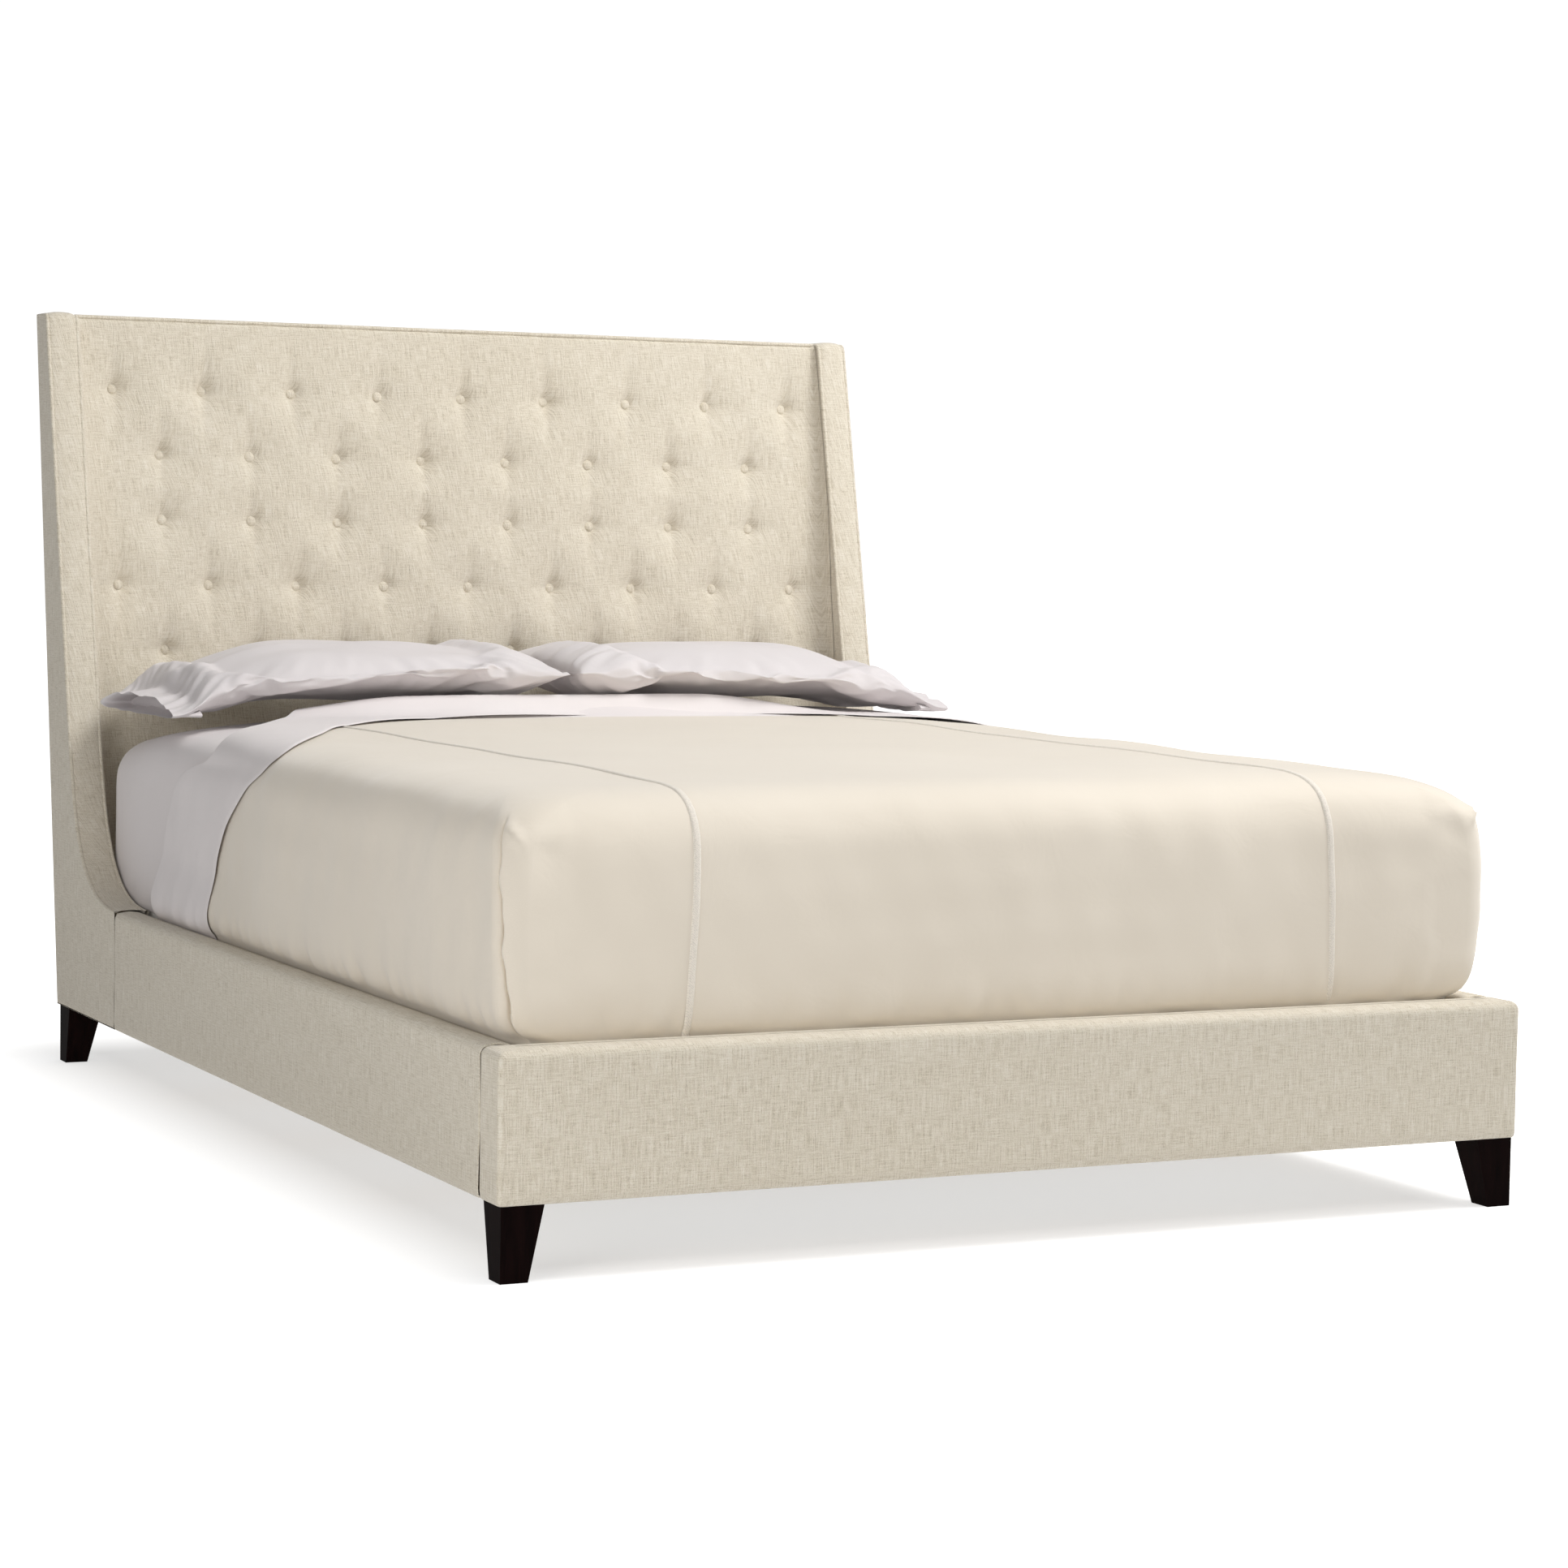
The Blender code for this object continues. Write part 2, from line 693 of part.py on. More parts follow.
def make_brackets():
    """Angle plates in the foot corners, and stepped plates across the seam of rail and wing."""
    inner = SIDE_INNER_X - GAP
    foot = from_foot(FOOT_RAIL_THICKNESS + GAP)
    thick = BRACKET_THICKNESS
    reach = BRACKET_REACH
    for side, sign in SIDES:
        angle = [
            (inner, foot),
            (inner, foot + reach),
            (inner - thick, foot + reach),
            (inner - thick, foot + thick),
            (inner - reach, foot + thick),
            (inner - reach, foot),
        ]
        angle = [(sign * x, y) for x, y in angle]
        prism(f"foot_bracket_{side}", angle, "Z", BRACKET_BOTTOM, BRACKET_TOP, "zinc_steel")
        wing = WING_INNER_X - GAP
        seam = from_foot(WING_SEAM)
        step = [
            (wing - thick, seam - reach),
            (inner, seam - reach),
            (inner, seam - 2 * GAP),
            (wing, seam - 2 * GAP),
            (wing, seam + reach),
            (wing - thick, seam + reach),
        ]
        step = [(sign * x, y) for x, y in step]
        prism(f"head_bracket_{side}", step, "Z", BRACKET_BOTTOM, BRACKET_TOP, "zinc_steel")


# ---- Bedding ------------------------------------------------------------------------------------


def layer_box(offset, bottom, foot, head, top):
    """The box of a layer that lies this far outside the mattress."""
    low = (-MATTRESS_HALF_WIDTH - offset, from_foot(foot - offset), bottom)
    high = (MATTRESS_HALF_WIDTH + offset, from_foot(head + offset), top + offset)
    return low, high


def make_foundation(bottom):
    head = MATTRESS_FOOT + MATTRESS_LENGTH
    top = bottom + FOUNDATION_HEIGHT
    core_offset = -COVER_SKIN - 2 * LAYER_GAP
    core_low, core_high = layer_box(core_offset, bottom, MATTRESS_FOOT, head, top)
    core = rounded_block_mesh(core_low, core_high, FOUNDATION_ROUND + core_offset)
    add_mesh("foundation_core", core, "frame_lumber")
    low, high = layer_box(-LAYER_GAP, bottom + GAP, MATTRESS_FOOT, head, top)
    tray("foundation_cover", low, high, COVER_SKIN, FOUNDATION_ROUND - LAYER_GAP, "ticking")
    return high[2]


def sheet_with_cuff(name, inner_offset, cuff_offset, top):
    """A sheet that lies under the coverlet, folds back at the head and lies over it again.

    The sheet's cross-section across the bed is an upside-down U that hugs the mattress. The
    section along the bed is the folded strip, given as (distance from foot, offset) points.
    """
    skin = SHEET_SKIN
    strip = [
        (SHEET_FOOT, inner_offset),
        (CUFF_FOLD, inner_offset),
        (CUFF_FOLD, cuff_offset + skin),
        (CUFF_EDGE, cuff_offset + skin),
        (CUFF_EDGE, cuff_offset),
        (CUFF_FOLD - skin, cuff_offset),
        (CUFF_FOLD - skin, inner_offset + skin),
        (SHEET_FOOT, inner_offset + skin),
    ]
    radius = MATTRESS_ROUND
    half = MATTRESS_HALF_WIDTH
    profile = [((-half, BEDDING_HEM), (-1, 0))]
    for centre_x, start in ((-half + radius, math.pi), (half - radius, math.pi / 2)):
        for i in range(ROUND_STEPS + 1):
            angle = start - math.pi / 2 * i / ROUND_STEPS
            normal = (math.cos(angle), math.sin(angle))
            spot = (centre_x + radius * normal[0], top - radius + radius * normal[1])
            profile.append((spot, normal))
    profile.append(((half, BEDDING_HEM), (1, 0)))
    builder = bmesh.new()
    rings = []
    for (x, z), (nx, nz) in profile:
        ring = []
        for distance, offset in strip:
            ring.append(builder.verts.new((x + nx * offset, from_foot(distance), z + nz * offset)))
        rings.append(ring)
    builder.faces.new(rings[0])
    builder.faces.new(rings[-1])
    count = len(strip)
    for near, far in zip(rings, rings[1:]):
        for i in range(count):
            j = (i + 1) % count
            builder.faces.new((near[i], near[j], far[j], far[i]))
    add_mesh(name, builder, "white_sheet")


def make_mattress(bottom):
    head = MATTRESS_FOOT + MATTRESS_LENGTH
    top = bottom + MATTRESS_HEIGHT
    core_offset = -COVER_SKIN - LAYER_GAP
    low, high = layer_box(core_offset, bottom, MATTRESS_FOOT, head, top)
    core = rounded_block_mesh(low, high, MATTRESS_ROUND + core_offset)
    add_mesh("mattress_core", core, "ticking")
    low, high = layer_box(0, bottom + GAP, MATTRESS_FOOT, head, top)
    tray("mattress_cover", low, high, COVER_SKIN, MATTRESS_ROUND, "ticking")

    fitted = LAYER_GAP + FITTED_SKIN
    low, high = layer_box(fitted, FITTED_HEM, MATTRESS_FOOT, head, top)
    tray("fitted_sheet", low, high, FITTED_SKIN, MATTRESS_ROUND + fitted, "white_sheet")

    under_leaf = fitted + LAYER_GAP
    coverlet = under_leaf + SHEET_SKIN + LAYER_GAP + COVERLET_SKIN
    cuff_leaf = coverlet + LAYER_GAP
    sheet_with_cuff("flat_sheet", under_leaf, cuff_leaf, top)
    low, high = layer_box(coverlet, BEDDING_HEM, MATTRESS_FOOT, head, top)
    high = (high[0], from_foot(CUFF_FOLD - SHEET_SKIN - LAYER_GAP), high[2])
    tray(
        "coverlet",
        low,
        high,
        COVERLET_SKIN,
        MATTRESS_ROUND + coverlet,
        "cream_coverlet",
        open_head=True,
    )


def cushion_mesh(centre, size):
    """A pillow shape: full in the middle, thin at its edges, fuller above than below."""
    builder = bmesh.new()
    half_x, half_y, height = size[0] / 2, size[1] / 2, size[2]
    above = (1 - PILLOW_BELOW) * height
    below = PILLOW_BELOW * height

    def grid(direction, reach):
        rows = []
        for j in range(PILLOW_ROWS + 1):
            v = math.sin(math.pi / 2 * (2 * j / PILLOW_ROWS - 1))
            row = []
            for i in range(PILLOW_COLUMNS + 1):
                u = math.sin(math.pi / 2 * (2 * i / PILLOW_COLUMNS - 1))
                fullness = math.sqrt(max(0, (1 - u**4) * (1 - v**4)))
                on_edge = abs(u) > 1 - 1e-9 or abs(v) > 1 - 1e-9
                lift = 0 if on_edge else direction * reach * fullness
                spot = (centre[0] + u * half_x, centre[1] + v * half_y, centre[2] + lift)
                row.append(spot)
            rows.append(row)
        return rows

    upper = grid(1, above)
    lower = grid(-1, below)
    verts = {}

    def vert(spot):
        key = tuple(round(value, 7) for value in spot)
        if key not in verts:
            verts[key] = builder.verts.new(spot)
        return verts[key]

    for rows, turn in ((upper, 1), (lower, -1)):
        for j in range(PILLOW_ROWS):
            for i in range(PILLOW_COLUMNS):
                corners = (rows[j][i], rows[j][i + 1], rows[j + 1][i + 1], rows[j + 1][i])
                builder.faces.new([vert(spot) for spot in corners[::turn]])
    return builder


def make_pillow(side, sign):
    """A pillow insert in a case that is open at its outer end."""

    def cushion(name, size, finish):
        return add_mesh(name, cushion_mesh(centre, size), finish, turn_faces=False)

    centre = (
        sign * (PILLOW_OUTER_X - PILLOW_LENGTH / 2),
        from_foot(PILLOW_FRONT + PILLOW_DEPTH / 2),
        PILLOW_REST + PILLOW_BELOW * PILLOW_HEIGHT,
    )
    case = cushion(f"pillow_case_{side}", PILLOW_SIZE, "white_sheet")
    inside_size = (
        PILLOW_LENGTH - 0.040,
        PILLOW_DEPTH - 0.030,
        PILLOW_HEIGHT - 4 * PILLOW_SKIN,
    )
    inside = cushion(f"pillow_case_{side}_inside", inside_size, None)
    boolean(case, inside, "DIFFERENCE")
    mouth_half = PILLOW_DEPTH * 0.36
    mouth_x = sorted((sign * (PILLOW_OUTER_X + 0.01), sign * (PILLOW_OUTER_X - 0.060)))
    mouth = box(
        f"pillow_case_{side}_mouth",
        (mouth_x[0], centre[1] - mouth_half, centre[2] - 0.0025),
        (mouth_x[1], centre[1] + mouth_half, centre[2] + 0.0025),
        None,
    )
    boolean(case, mouth, "DIFFERENCE")
    insert_size = (
        inside_size[0] - 0.020,
        inside_size[1] - 0.020,
        inside_size[2] - 4 * PILLOW_SKIN,
    )
    cushion(f"pillow_insert_{side}", insert_size, "ticking")


# ---- The bed ------------------------------------------------------------------------------------


def make_bed():
    make_headboard()
    make_inner_welt()
    make_foot_rail()
    for side, sign in SIDES:
        make_wing(side, sign)
        make_side_rail(side, sign)
        make_pillow(side, sign)
    make_legs()
    make_supports()
    make_brackets()
    foundation_top = make_foundation(SLAT_TOP + GAP)
    make_mattress(foundation_top + GAP)
    bpy.context.view_layer.update()


clear_scene()
FINISH = make_finishes()
make_bed()
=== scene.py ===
"""Looks of an upholstered queen bed: woven headboard with buttons, shelter wings, rails and bedding.

Metres, +Z up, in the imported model's frame: X across the bed, +Y towards the headboard. Lengths
along the bed are given from the front of the foot rail and turned into Y by from_foot().
"""

import math

import bpy
import numpy as np
from mathutils import Matrix, Vector


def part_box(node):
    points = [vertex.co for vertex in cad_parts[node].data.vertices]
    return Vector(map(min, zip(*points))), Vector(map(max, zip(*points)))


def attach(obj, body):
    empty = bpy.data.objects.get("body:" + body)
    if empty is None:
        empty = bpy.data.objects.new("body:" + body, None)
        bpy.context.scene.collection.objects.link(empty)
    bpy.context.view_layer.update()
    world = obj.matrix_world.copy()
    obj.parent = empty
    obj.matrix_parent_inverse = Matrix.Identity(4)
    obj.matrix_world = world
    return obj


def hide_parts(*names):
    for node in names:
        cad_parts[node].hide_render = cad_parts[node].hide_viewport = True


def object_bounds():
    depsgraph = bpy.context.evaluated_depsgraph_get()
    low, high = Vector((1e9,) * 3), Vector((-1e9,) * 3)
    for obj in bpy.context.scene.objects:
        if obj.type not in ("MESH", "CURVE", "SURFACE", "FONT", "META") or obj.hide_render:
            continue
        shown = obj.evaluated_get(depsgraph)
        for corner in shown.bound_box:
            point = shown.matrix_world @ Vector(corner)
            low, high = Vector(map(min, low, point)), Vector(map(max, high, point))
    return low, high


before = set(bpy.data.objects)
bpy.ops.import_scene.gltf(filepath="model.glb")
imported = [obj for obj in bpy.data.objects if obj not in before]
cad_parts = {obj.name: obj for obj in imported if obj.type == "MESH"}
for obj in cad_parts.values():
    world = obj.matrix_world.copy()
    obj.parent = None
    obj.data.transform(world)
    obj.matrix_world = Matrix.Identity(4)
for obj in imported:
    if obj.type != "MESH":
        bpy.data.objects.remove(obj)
CAD_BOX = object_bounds()

# ---- Sizes taken from the frame ----

SIDES = (("left", -1), ("right", 1))
FOOT_LOW, FOOT_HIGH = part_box("foot_rail_cover")
HALF_WIDTH = FOOT_HIGH.x
FOOT_Y = FOOT_LOW.y
RAIL_BOTTOM = FOOT_LOW.z
RAIL_TOP = FOOT_HIGH.z
FOOT_RAIL_BACK = FOOT_HIGH.y - FOOT_Y
RAIL_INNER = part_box("side_rail_cover_right")[0].x
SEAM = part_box("side_rail_cover_right")[1].y - FOOT_Y
WING_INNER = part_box("wing_inner_pad_right")[0].x
TOP = CAD_BOX[1].z
LEAN = 0.128
REAR_AT_FLOOR = CAD_BOX[1].y - FOOT_Y - LEAN * TOP
BEDDING_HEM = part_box("coverlet")[0].z
PANEL_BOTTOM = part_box("headboard_board")[0].z

# ---- Sizes of the looks ----

WING_FRONT_TOP = 2.2985
WING_FRONT_SLOPE = 0.218
WING_CURVE_TOP = 0.62
WING_CURVE_PULL = 0.19
WING_CURVE_FOOT = 2.05
WELT_RADIUS = 0.0038
WELT_INSET = 0.0042
EDGE_ROLL = 0.006
RAIL_ROUND = 0.013
RAIL_CROWN = 0.0015

PANEL_DEPTH = 0.0504
PANEL_CROWN = 0.0045
PANEL_STEP = 0.0052
CORNER_ROUND = 0.036

BUTTON_COLUMNS = (9, 8, 8, 9, 8)
BUTTON_PITCH = 0.1734
BUTTON_TOP_ROW = 1.2379
BUTTON_ROW_PITCH = 0.1211
BUTTON_RADIUS = 0.0098
BUTTON_DOME = 0.0056
DIMPLE_DEPTH = 0.0205

PILLOW_INNER = 0.012
PILLOW_OUTER = 0.778

COVERLET_HALF = 0.802
COVERLET_FOOT = 0.058

FLOOR_BOUNCE = 0.34
SEAM_X = 0.522
FOLD_HEIGHT = 0.0050
GROOVE_DEPTH = 0.0140

# The turned-down sheet: (distance over the bed from its middle, distance from the foot).
CUFF_EDGE_LEFT = (
    (0.00, 1.705), (0.30, 1.655), (0.50, 1.510), (0.64, 1.270), (0.74, 1.130), (0.79, 1.150),
    (0.86, 1.260), (0.93, 1.345), (1.00, 1.390), (1.12, 1.415),
)
CUFF_EDGE_RIGHT = ((0.00, 1.705), (0.30, 1.722), (0.50, 1.700), (0.66, 1.580), (0.78, 1.450), (1.12, 1.420))
CUFF_FOLD_LEFT = (
    (0.00, 2.010), (0.30, 1.960), (0.46, 1.840), (0.60, 1.640), (0.70, 1.490), (0.77, 1.470),
    (0.83, 1.600), (0.92, 1.680), (1.12, 1.750),
)
CUFF_FOLD_RIGHT = ((0.00, 2.010), (0.30, 2.020), (0.50, 1.990), (0.66, 1.870), (0.78, 1.755), (1.12, 1.740))


def from_foot(distance):
    """The Y of a point this far behind the front of the foot rail."""
    return FOOT_Y + distance


def rear_at(height):
    """How far the headboard's leaning rear plane is from the foot, at this height."""
    return REAR_AT_FLOOR + LEAN * height


def placed(x, distance, z):
    """Points from arrays of X, distance from the foot and height."""
    return np.stack(np.broadcast_arrays(x, from_foot(distance), z), -1)


# ---- Mesh helpers ----


def show(name, data):
    """A new object in the scene for a mesh, a light or a camera."""
    item = bpy.data.objects.new(name, data)
    bpy.context.scene.collection.objects.link(item)
    return item


class Patches:
    """Grids of points gathered into one mesh."""

    def __init__(self):
        self.points = []
        self.faces = []

    def add(self, grid, closed=False, flip=False):
        """Adds a grid of shape (rows, columns, 3); closed joins the last column to the first."""
        grid = np.asarray(grid, float)
        rows, columns = grid.shape[:2]
        start = len(self.points)
        self.points.extend(grid.reshape(-1, 3).tolist())
        across = columns if closed else columns - 1
        for r in range(rows - 1):
            for c in range(across):
                d = (c + 1) % columns
                a = start + r * columns
                b = a + columns
                face = (a + c, a + d, b + d, b + c)
                self.faces.append(face[::-1] if flip else face)
        return self

    def add_fan(self, ring, flip=False):
        """Closes a ring of points with triangles to its middle."""
        ring = np.asarray(ring, float)
        start = len(self.points)
        self.points.extend(ring.tolist())
        self.points.append(ring.mean(0).tolist())
        count = len(ring)
        for k in range(count):
            face = (start + k, start + (k + 1) % count, start + count)
            self.faces.append(face[::-1] if flip else face)
        return self

    def weld(self, distance=1e-4):
        """Joins points that share a place, and drops the faces that this closes up."""
        keys = {}
        kept = []
        renamed = []
        for point in self.points:
            key = tuple(round(value / distance) for value in point)
            if key not in keys:
                keys[key] = len(kept)
                kept.append(point)
            renamed.append(keys[key])
        faces = [tuple(dict.fromkeys(renamed[index] for index in face)) for face in self.faces]
        self.points = kept
        self.faces = [face for face in faces if len(face) > 2]
        return self

    def build(self, name, material, body, slot, replaced=()):
        mesh = bpy.data.meshes.new(name)
        mesh.from_pydata(self.points, [], self.faces)
        mesh.update()
        mesh.shade_smooth()
        mesh.materials.append(material)
        piece = show(name, mesh)
        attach(piece, body)
        if replaced:
            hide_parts(*replaced)
        return piece


def ripples(seed, a, b, wavelength, waves=9):
    """Smooth seeded unevenness over two coordinates, mostly between -1 and 1."""
    chance = np.random.RandomState(seed)
    total = np.zeros(np.broadcast(a, b).shape)
    for _ in range(waves):
        turn = chance.uniform(0, 2 * math.pi)
        start = chance.uniform(0, 2 * math.pi)
        pace = 2 * math.pi / (wavelength * chance.uniform(0.65, 1.5))
        total += np.sin(pace * (a * math.cos(turn) + b * math.sin(turn)) + start)
    return total * math.sqrt(2 / waves) * 0.6


def unit(vectors):
    """The same vector, or rows of vectors, at length one."""
    return vectors / np.linalg.norm(vectors, axis=-1, keepdims=True)


def gauss(value, width):
    """A bump of height one and this width."""
    return np.exp(-((value / width) ** 2))


def smooth_step(low, high, value):
    t = np.clip((value - low) / (high - low), 0, 1)
    return t * t * (3 - 2 * t)


def run_lengths(points):
    """The distance along a polyline to each of its points."""
    return np.concatenate([[0], np.cumsum(np.linalg.norm(np.diff(points, axis=0), axis=1))])


def resample(points, spacing):
    """The same polyline with evenly spaced points."""
    points = np.asarray(points, float)
    along = run_lengths(points)
    count = max(2, int(round(along[-1] / spacing)) + 1)
    places = np.linspace(0, along[-1], count)
    return np.stack([np.interp(places, along, points[:, k]) for k in range(points.shape[1])], 1)


def rounded_path(points, radius, steps=7):
    """A polyline whose inner corners are turned into short curves."""
    points = [np.asarray(p, float) for p in points]
    path = [points[0]]
    for before, corner, after in zip(points, points[1:], points[2:]):
        into, out = before - corner, after - corner
        reach = min(radius, np.linalg.norm(into) * 0.45, np.linalg.norm(out) * 0.45)
        start = corner + unit(into) * reach
        end = corner + unit(out) * reach
        for i in range(steps + 1):
            t = i / steps
            path.append((1 - t) ** 2 * start + 2 * t * (1 - t) * corner + t * t * end)
    path.append(points[-1])
    return np.array(path)


def spline(controls, spacing):
    """A smooth curve through the control points, evenly resampled."""
    c = np.asarray(controls, float)
    c = np.vstack([2 * c[0] - c[1], c, 2 * c[-1] - c[-2]])
    dense = []
    for p0, p1, p2, p3 in zip(c, c[1:], c[2:], c[3:]):
        for t in np.linspace(0, 1, 16, endpoint=False):
            dense.append(
                0.5 * (2 * p1 + (p2 - p0) * t + (2 * p0 - 5 * p1 + 4 * p2 - p3) * t * t
                       + (3 * p1 - p0 - 3 * p2 + p3) * t ** 3)
            )
    dense.append(c[-2])
    return resample(dense, spacing)


def tube_rings(path, radius, sides=10):
    """Rings of points round a path in space, turned as little as possible from one to the next."""
    path = np.asarray(path, float)
    heading = unit(np.gradient(path, axis=0))
    side = np.cross(heading[0], [0.3, 0.5, 0.8])
    rings = []
    for point, forward in zip(path, heading):
        side = unit(side - forward * side.dot(forward))
        up = np.cross(forward, side)
        angles = np.linspace(0, 2 * math.pi, sides, endpoint=False)
        rings.append(point + radius * (np.outer(np.cos(angles), side) + np.outer(np.sin(angles), up)))
    return np.array(rings)


# ---- Materials ----


class Wire:
    """A node's output, on which arithmetic makes further nodes."""

    def __init__(self, nodes, socket):
        self.nodes = nodes
        self.socket = socket

    def math(self, operation, *values):
        return self.nodes.math(operation, self, *values)

    def __add__(self, other):
        return self.math("ADD", other)

    def __mul__(self, other):
        return self.math("MULTIPLY", other)

    def __sub__(self, other):
        return self.math("SUBTRACT", other)

    def __rsub__(self, other):
        return self.nodes.math("SUBTRACT", other, self)


class Nodes:
    """A node tree that is put together from small steps."""

    def __init__(self, tree):
        self.tree = tree

    def wire(self, kind, output, **inputs):
        """Adds a node, feeds its inputs by name, and gives one of its outputs."""
        node = self.tree.nodes.new("ShaderNode" + kind)
        for name, value in inputs.items():
            self.feed(node.inputs[name], value)
        return Wire(self, node.outputs[output])

    def feed(self, socket, value):
        if isinstance(value, Wire):
            self.tree.links.new(value.socket, socket)
        else:
            socket.default_value = value

    def math(self, operation, *values):
        node = self.tree.nodes.new("ShaderNodeMath")
        node.operation = operation
        for socket, value in zip(node.inputs, values):
            self.feed(socket, value)
        return Wire(self, node.outputs[0])

    def split(self, vector):
        node = self.tree.nodes.new("ShaderNodeSeparateXYZ")
        self.feed(node.inputs[0], vector)
        return [Wire(self, output) for output in node.outputs]

    def join(self, x, y, z=0.0):
        return self.wire("CombineXYZ", 0, X=x, Y=y, Z=z)

    def noise(self, vector, scale, detail=2.0, roughness=0.5, distortion=0.0):
        return self.wire("TexNoise", "Fac", Vector=vector, Scale=scale, Detail=detail, Roughness=roughness,
                         Distortion=distortion)

    def bump(self, height, distance, strength=1.0, **under):
        return self.wire("Bump", 0, Height=height, Distance=distance, Strength=strength, **under)

    def ramp(self, value, *stops):
        node = self.tree.nodes.new("ShaderNodeValToRGB")
        self.feed(node.inputs[0], value)
        elements = node.color_ramp.elements
        while len(elements) < len(stops):
            elements.new(0.5)
        for element, (position, colour) in zip(elements, stops):
            element.position = position
            element.color = (*colour, 1)
        return Wire(self, node.outputs["Color"])


class Look(Nodes):
    """A Principled material."""

    def __init__(self, name, roughness, **sockets):
        self.material = bpy.data.materials.new(name)
        self.material.use_nodes = True
        super().__init__(self.material.node_tree)
        self.shader = self.tree.nodes["Principled BSDF"]
        self.shader.inputs["Roughness"].default_value = roughness
        for socket, value in sockets.items():
            self.shader.inputs[socket.replace("_", " ")].default_value = value
        self.place = self.wire("TexCoord", "Object")

    def wear(self, colour, normal):
        """Plugs in the colour and the bump, and gives the material."""
        self.feed(self.shader.inputs["Base Color"], colour)
        self.feed(self.shader.inputs["Normal"], normal)
        return self.material


def thread_places(look):
    """Two coordinates that run along the warp and the weft on any face of the bed."""
    x, y, z = look.split(look.place)
    normal = look.wire("NewGeometry", "Normal")
    flat = look.split(normal)[2].math("ABSOLUTE").math("GREATER_THAN", 0.75)
    upright = 1.0 - flat
    return x + y * upright, z * upright + y * flat


def woven_upholstery():
    """A slubby basket weave: thick and thin threads both ways, in cream and oatmeal."""
    look = Look("oatmeal_linen", 0.93, Sheen_Weight=0.35, Sheen_Roughness=0.45, Specular_IOR_Level=0.25)
    across, along = thread_places(look)
    drift = look.noise(look.place, 60.0) * 0.0016
    across = across + drift
    along = along + drift
    thread = 2 * math.pi / 0.0023
    weave = (across * thread).math("SINE") * (along * thread).math("SINE")
    upright = look.noise(look.join(across * 560.0, along * 26.0), 1.0, 3.0, 0.70)
    level = look.noise(look.join(across * 36.0, along * 620.0), 1.0, 3.0, 0.70)
    slub = upright * 0.55 + level * 0.45
    grain = look.noise(look.place, 560.0, 2.0, 0.7)
    mottle = look.noise(look.place, 2.2)
    colour = look.ramp(slub * 0.72 + grain * 0.24 + mottle * 0.04,
                       (0.36, (0.46, 0.395, 0.295)), (0.46, (0.690, 0.620, 0.495)),
                       (0.53, (0.800, 0.735, 0.615)), (0.66, (0.92, 0.875, 0.785)))
    return look.wear(colour, look.bump(weave * 0.20 + slub * 1.5 + grain * 0.6, 0.0013, 0.8))


def cotton(name, light, shade, roughness, crease, sheen):
    """A fine plain weave with soft, slightly uneven pressing."""
    look = Look(name, roughness, Sheen_Weight=sheen, Sheen_Roughness=0.5, Specular_IOR_Level=0.3)
    across, along = thread_places(look)
    threads = look.noise(look.join(across * 900.0, along * 900.0), 1.0, 2.0, 0.6)
    cloud = look.noise(look.place, 2.6, 3.0)
    press = look.noise(look.place, 11.0, 4.0, 0.55, 0.6)
    colour = look.ramp(cloud * 0.6 + threads * 0.4, (0.30, shade), (0.68, light))
    return look.wear(colour, look.bump(threads, 0.00025, 0.5, Normal=look.bump(press, crease, 0.5)))


def stitched_cotton(name, colour):
    """The same cloth seen close along a row of stitches."""
    look = Look(name, 0.85, Sheen_Weight=0.2)
    x, y, z = look.split(look.place)
    stitch = ((x + y + z) * (2 * math.pi / 0.0034)).math("SINE")
    tone = stitch * 0.12 + look.noise(look.place, 500.0)
    low = tuple(value * 0.84 for value in colour)
    return look.wear(look.ramp(tone, (0.3, low), (0.6, colour)), look.bump(tone, 0.0006, 0.7))


def espresso_wood():
    look = Look("espresso_wood", 0.55, Specular_IOR_Level=0.03)
    x, y, z = look.split(look.place)
    grain = look.noise(look.join(x * 90.0, y * 90.0, z * 7.0), 1.0, 5.0, 0.62, 0.8)
    pores = look.noise(look.join(x * 600.0, y * 600.0, z * 40.0), 1.0, 2.0, 0.6)
    tone = grain * 0.75 + pores * 0.25
    colour = look.ramp(tone, (0.35, (0.0022, 0.0010, 0.0010)), (0.65, (0.0080, 0.0028, 0.0026)))
    return look.wear(colour, look.bump(tone, 0.0004, 0.35))


def sawn_lumber():
    look = Look("sawn_lumber", 0.72, Specular_IOR_Level=0.3)
    x, y, z = look.split(look.place)
    grain = look.noise(look.join(x * 9.0, y * 22.0, z * 60.0), 1.0, 6.0, 0.6, 1.2)
    colour = look.ramp(grain, (0.30, (0.40, 0.25, 0.12)), (0.50, (0.60, 0.43, 0.25)),
                       (0.70, (0.73, 0.57, 0.37)))
    return look.wear(colour, look.bump(grain, 0.0006, 0.5))


def zinc_steel():
    look = Look("zinc_steel", 0.34, Metallic=1.0)
    spangle = look.noise(look.place, 70.0, 3.0, 0.6)
    colour = look.ramp(spangle, (0.35, (0.46, 0.47, 0.49)), (0.65, (0.66, 0.67, 0.69)))
    return look.wear(colour, look.bump(spangle, 0.0002, 0.3))


def black_plastic():
    look = Look("black_plastic", 0.55, Specular_IOR_Level=0.45)
    grain = look.noise(look.place, 900.0)
    colour = look.ramp(grain, (0.3, (0.018, 0.018, 0.020)), (0.7, (0.036, 0.036, 0.038)))
    return look.wear(colour, look.bump(grain, 0.0002, 0.4))


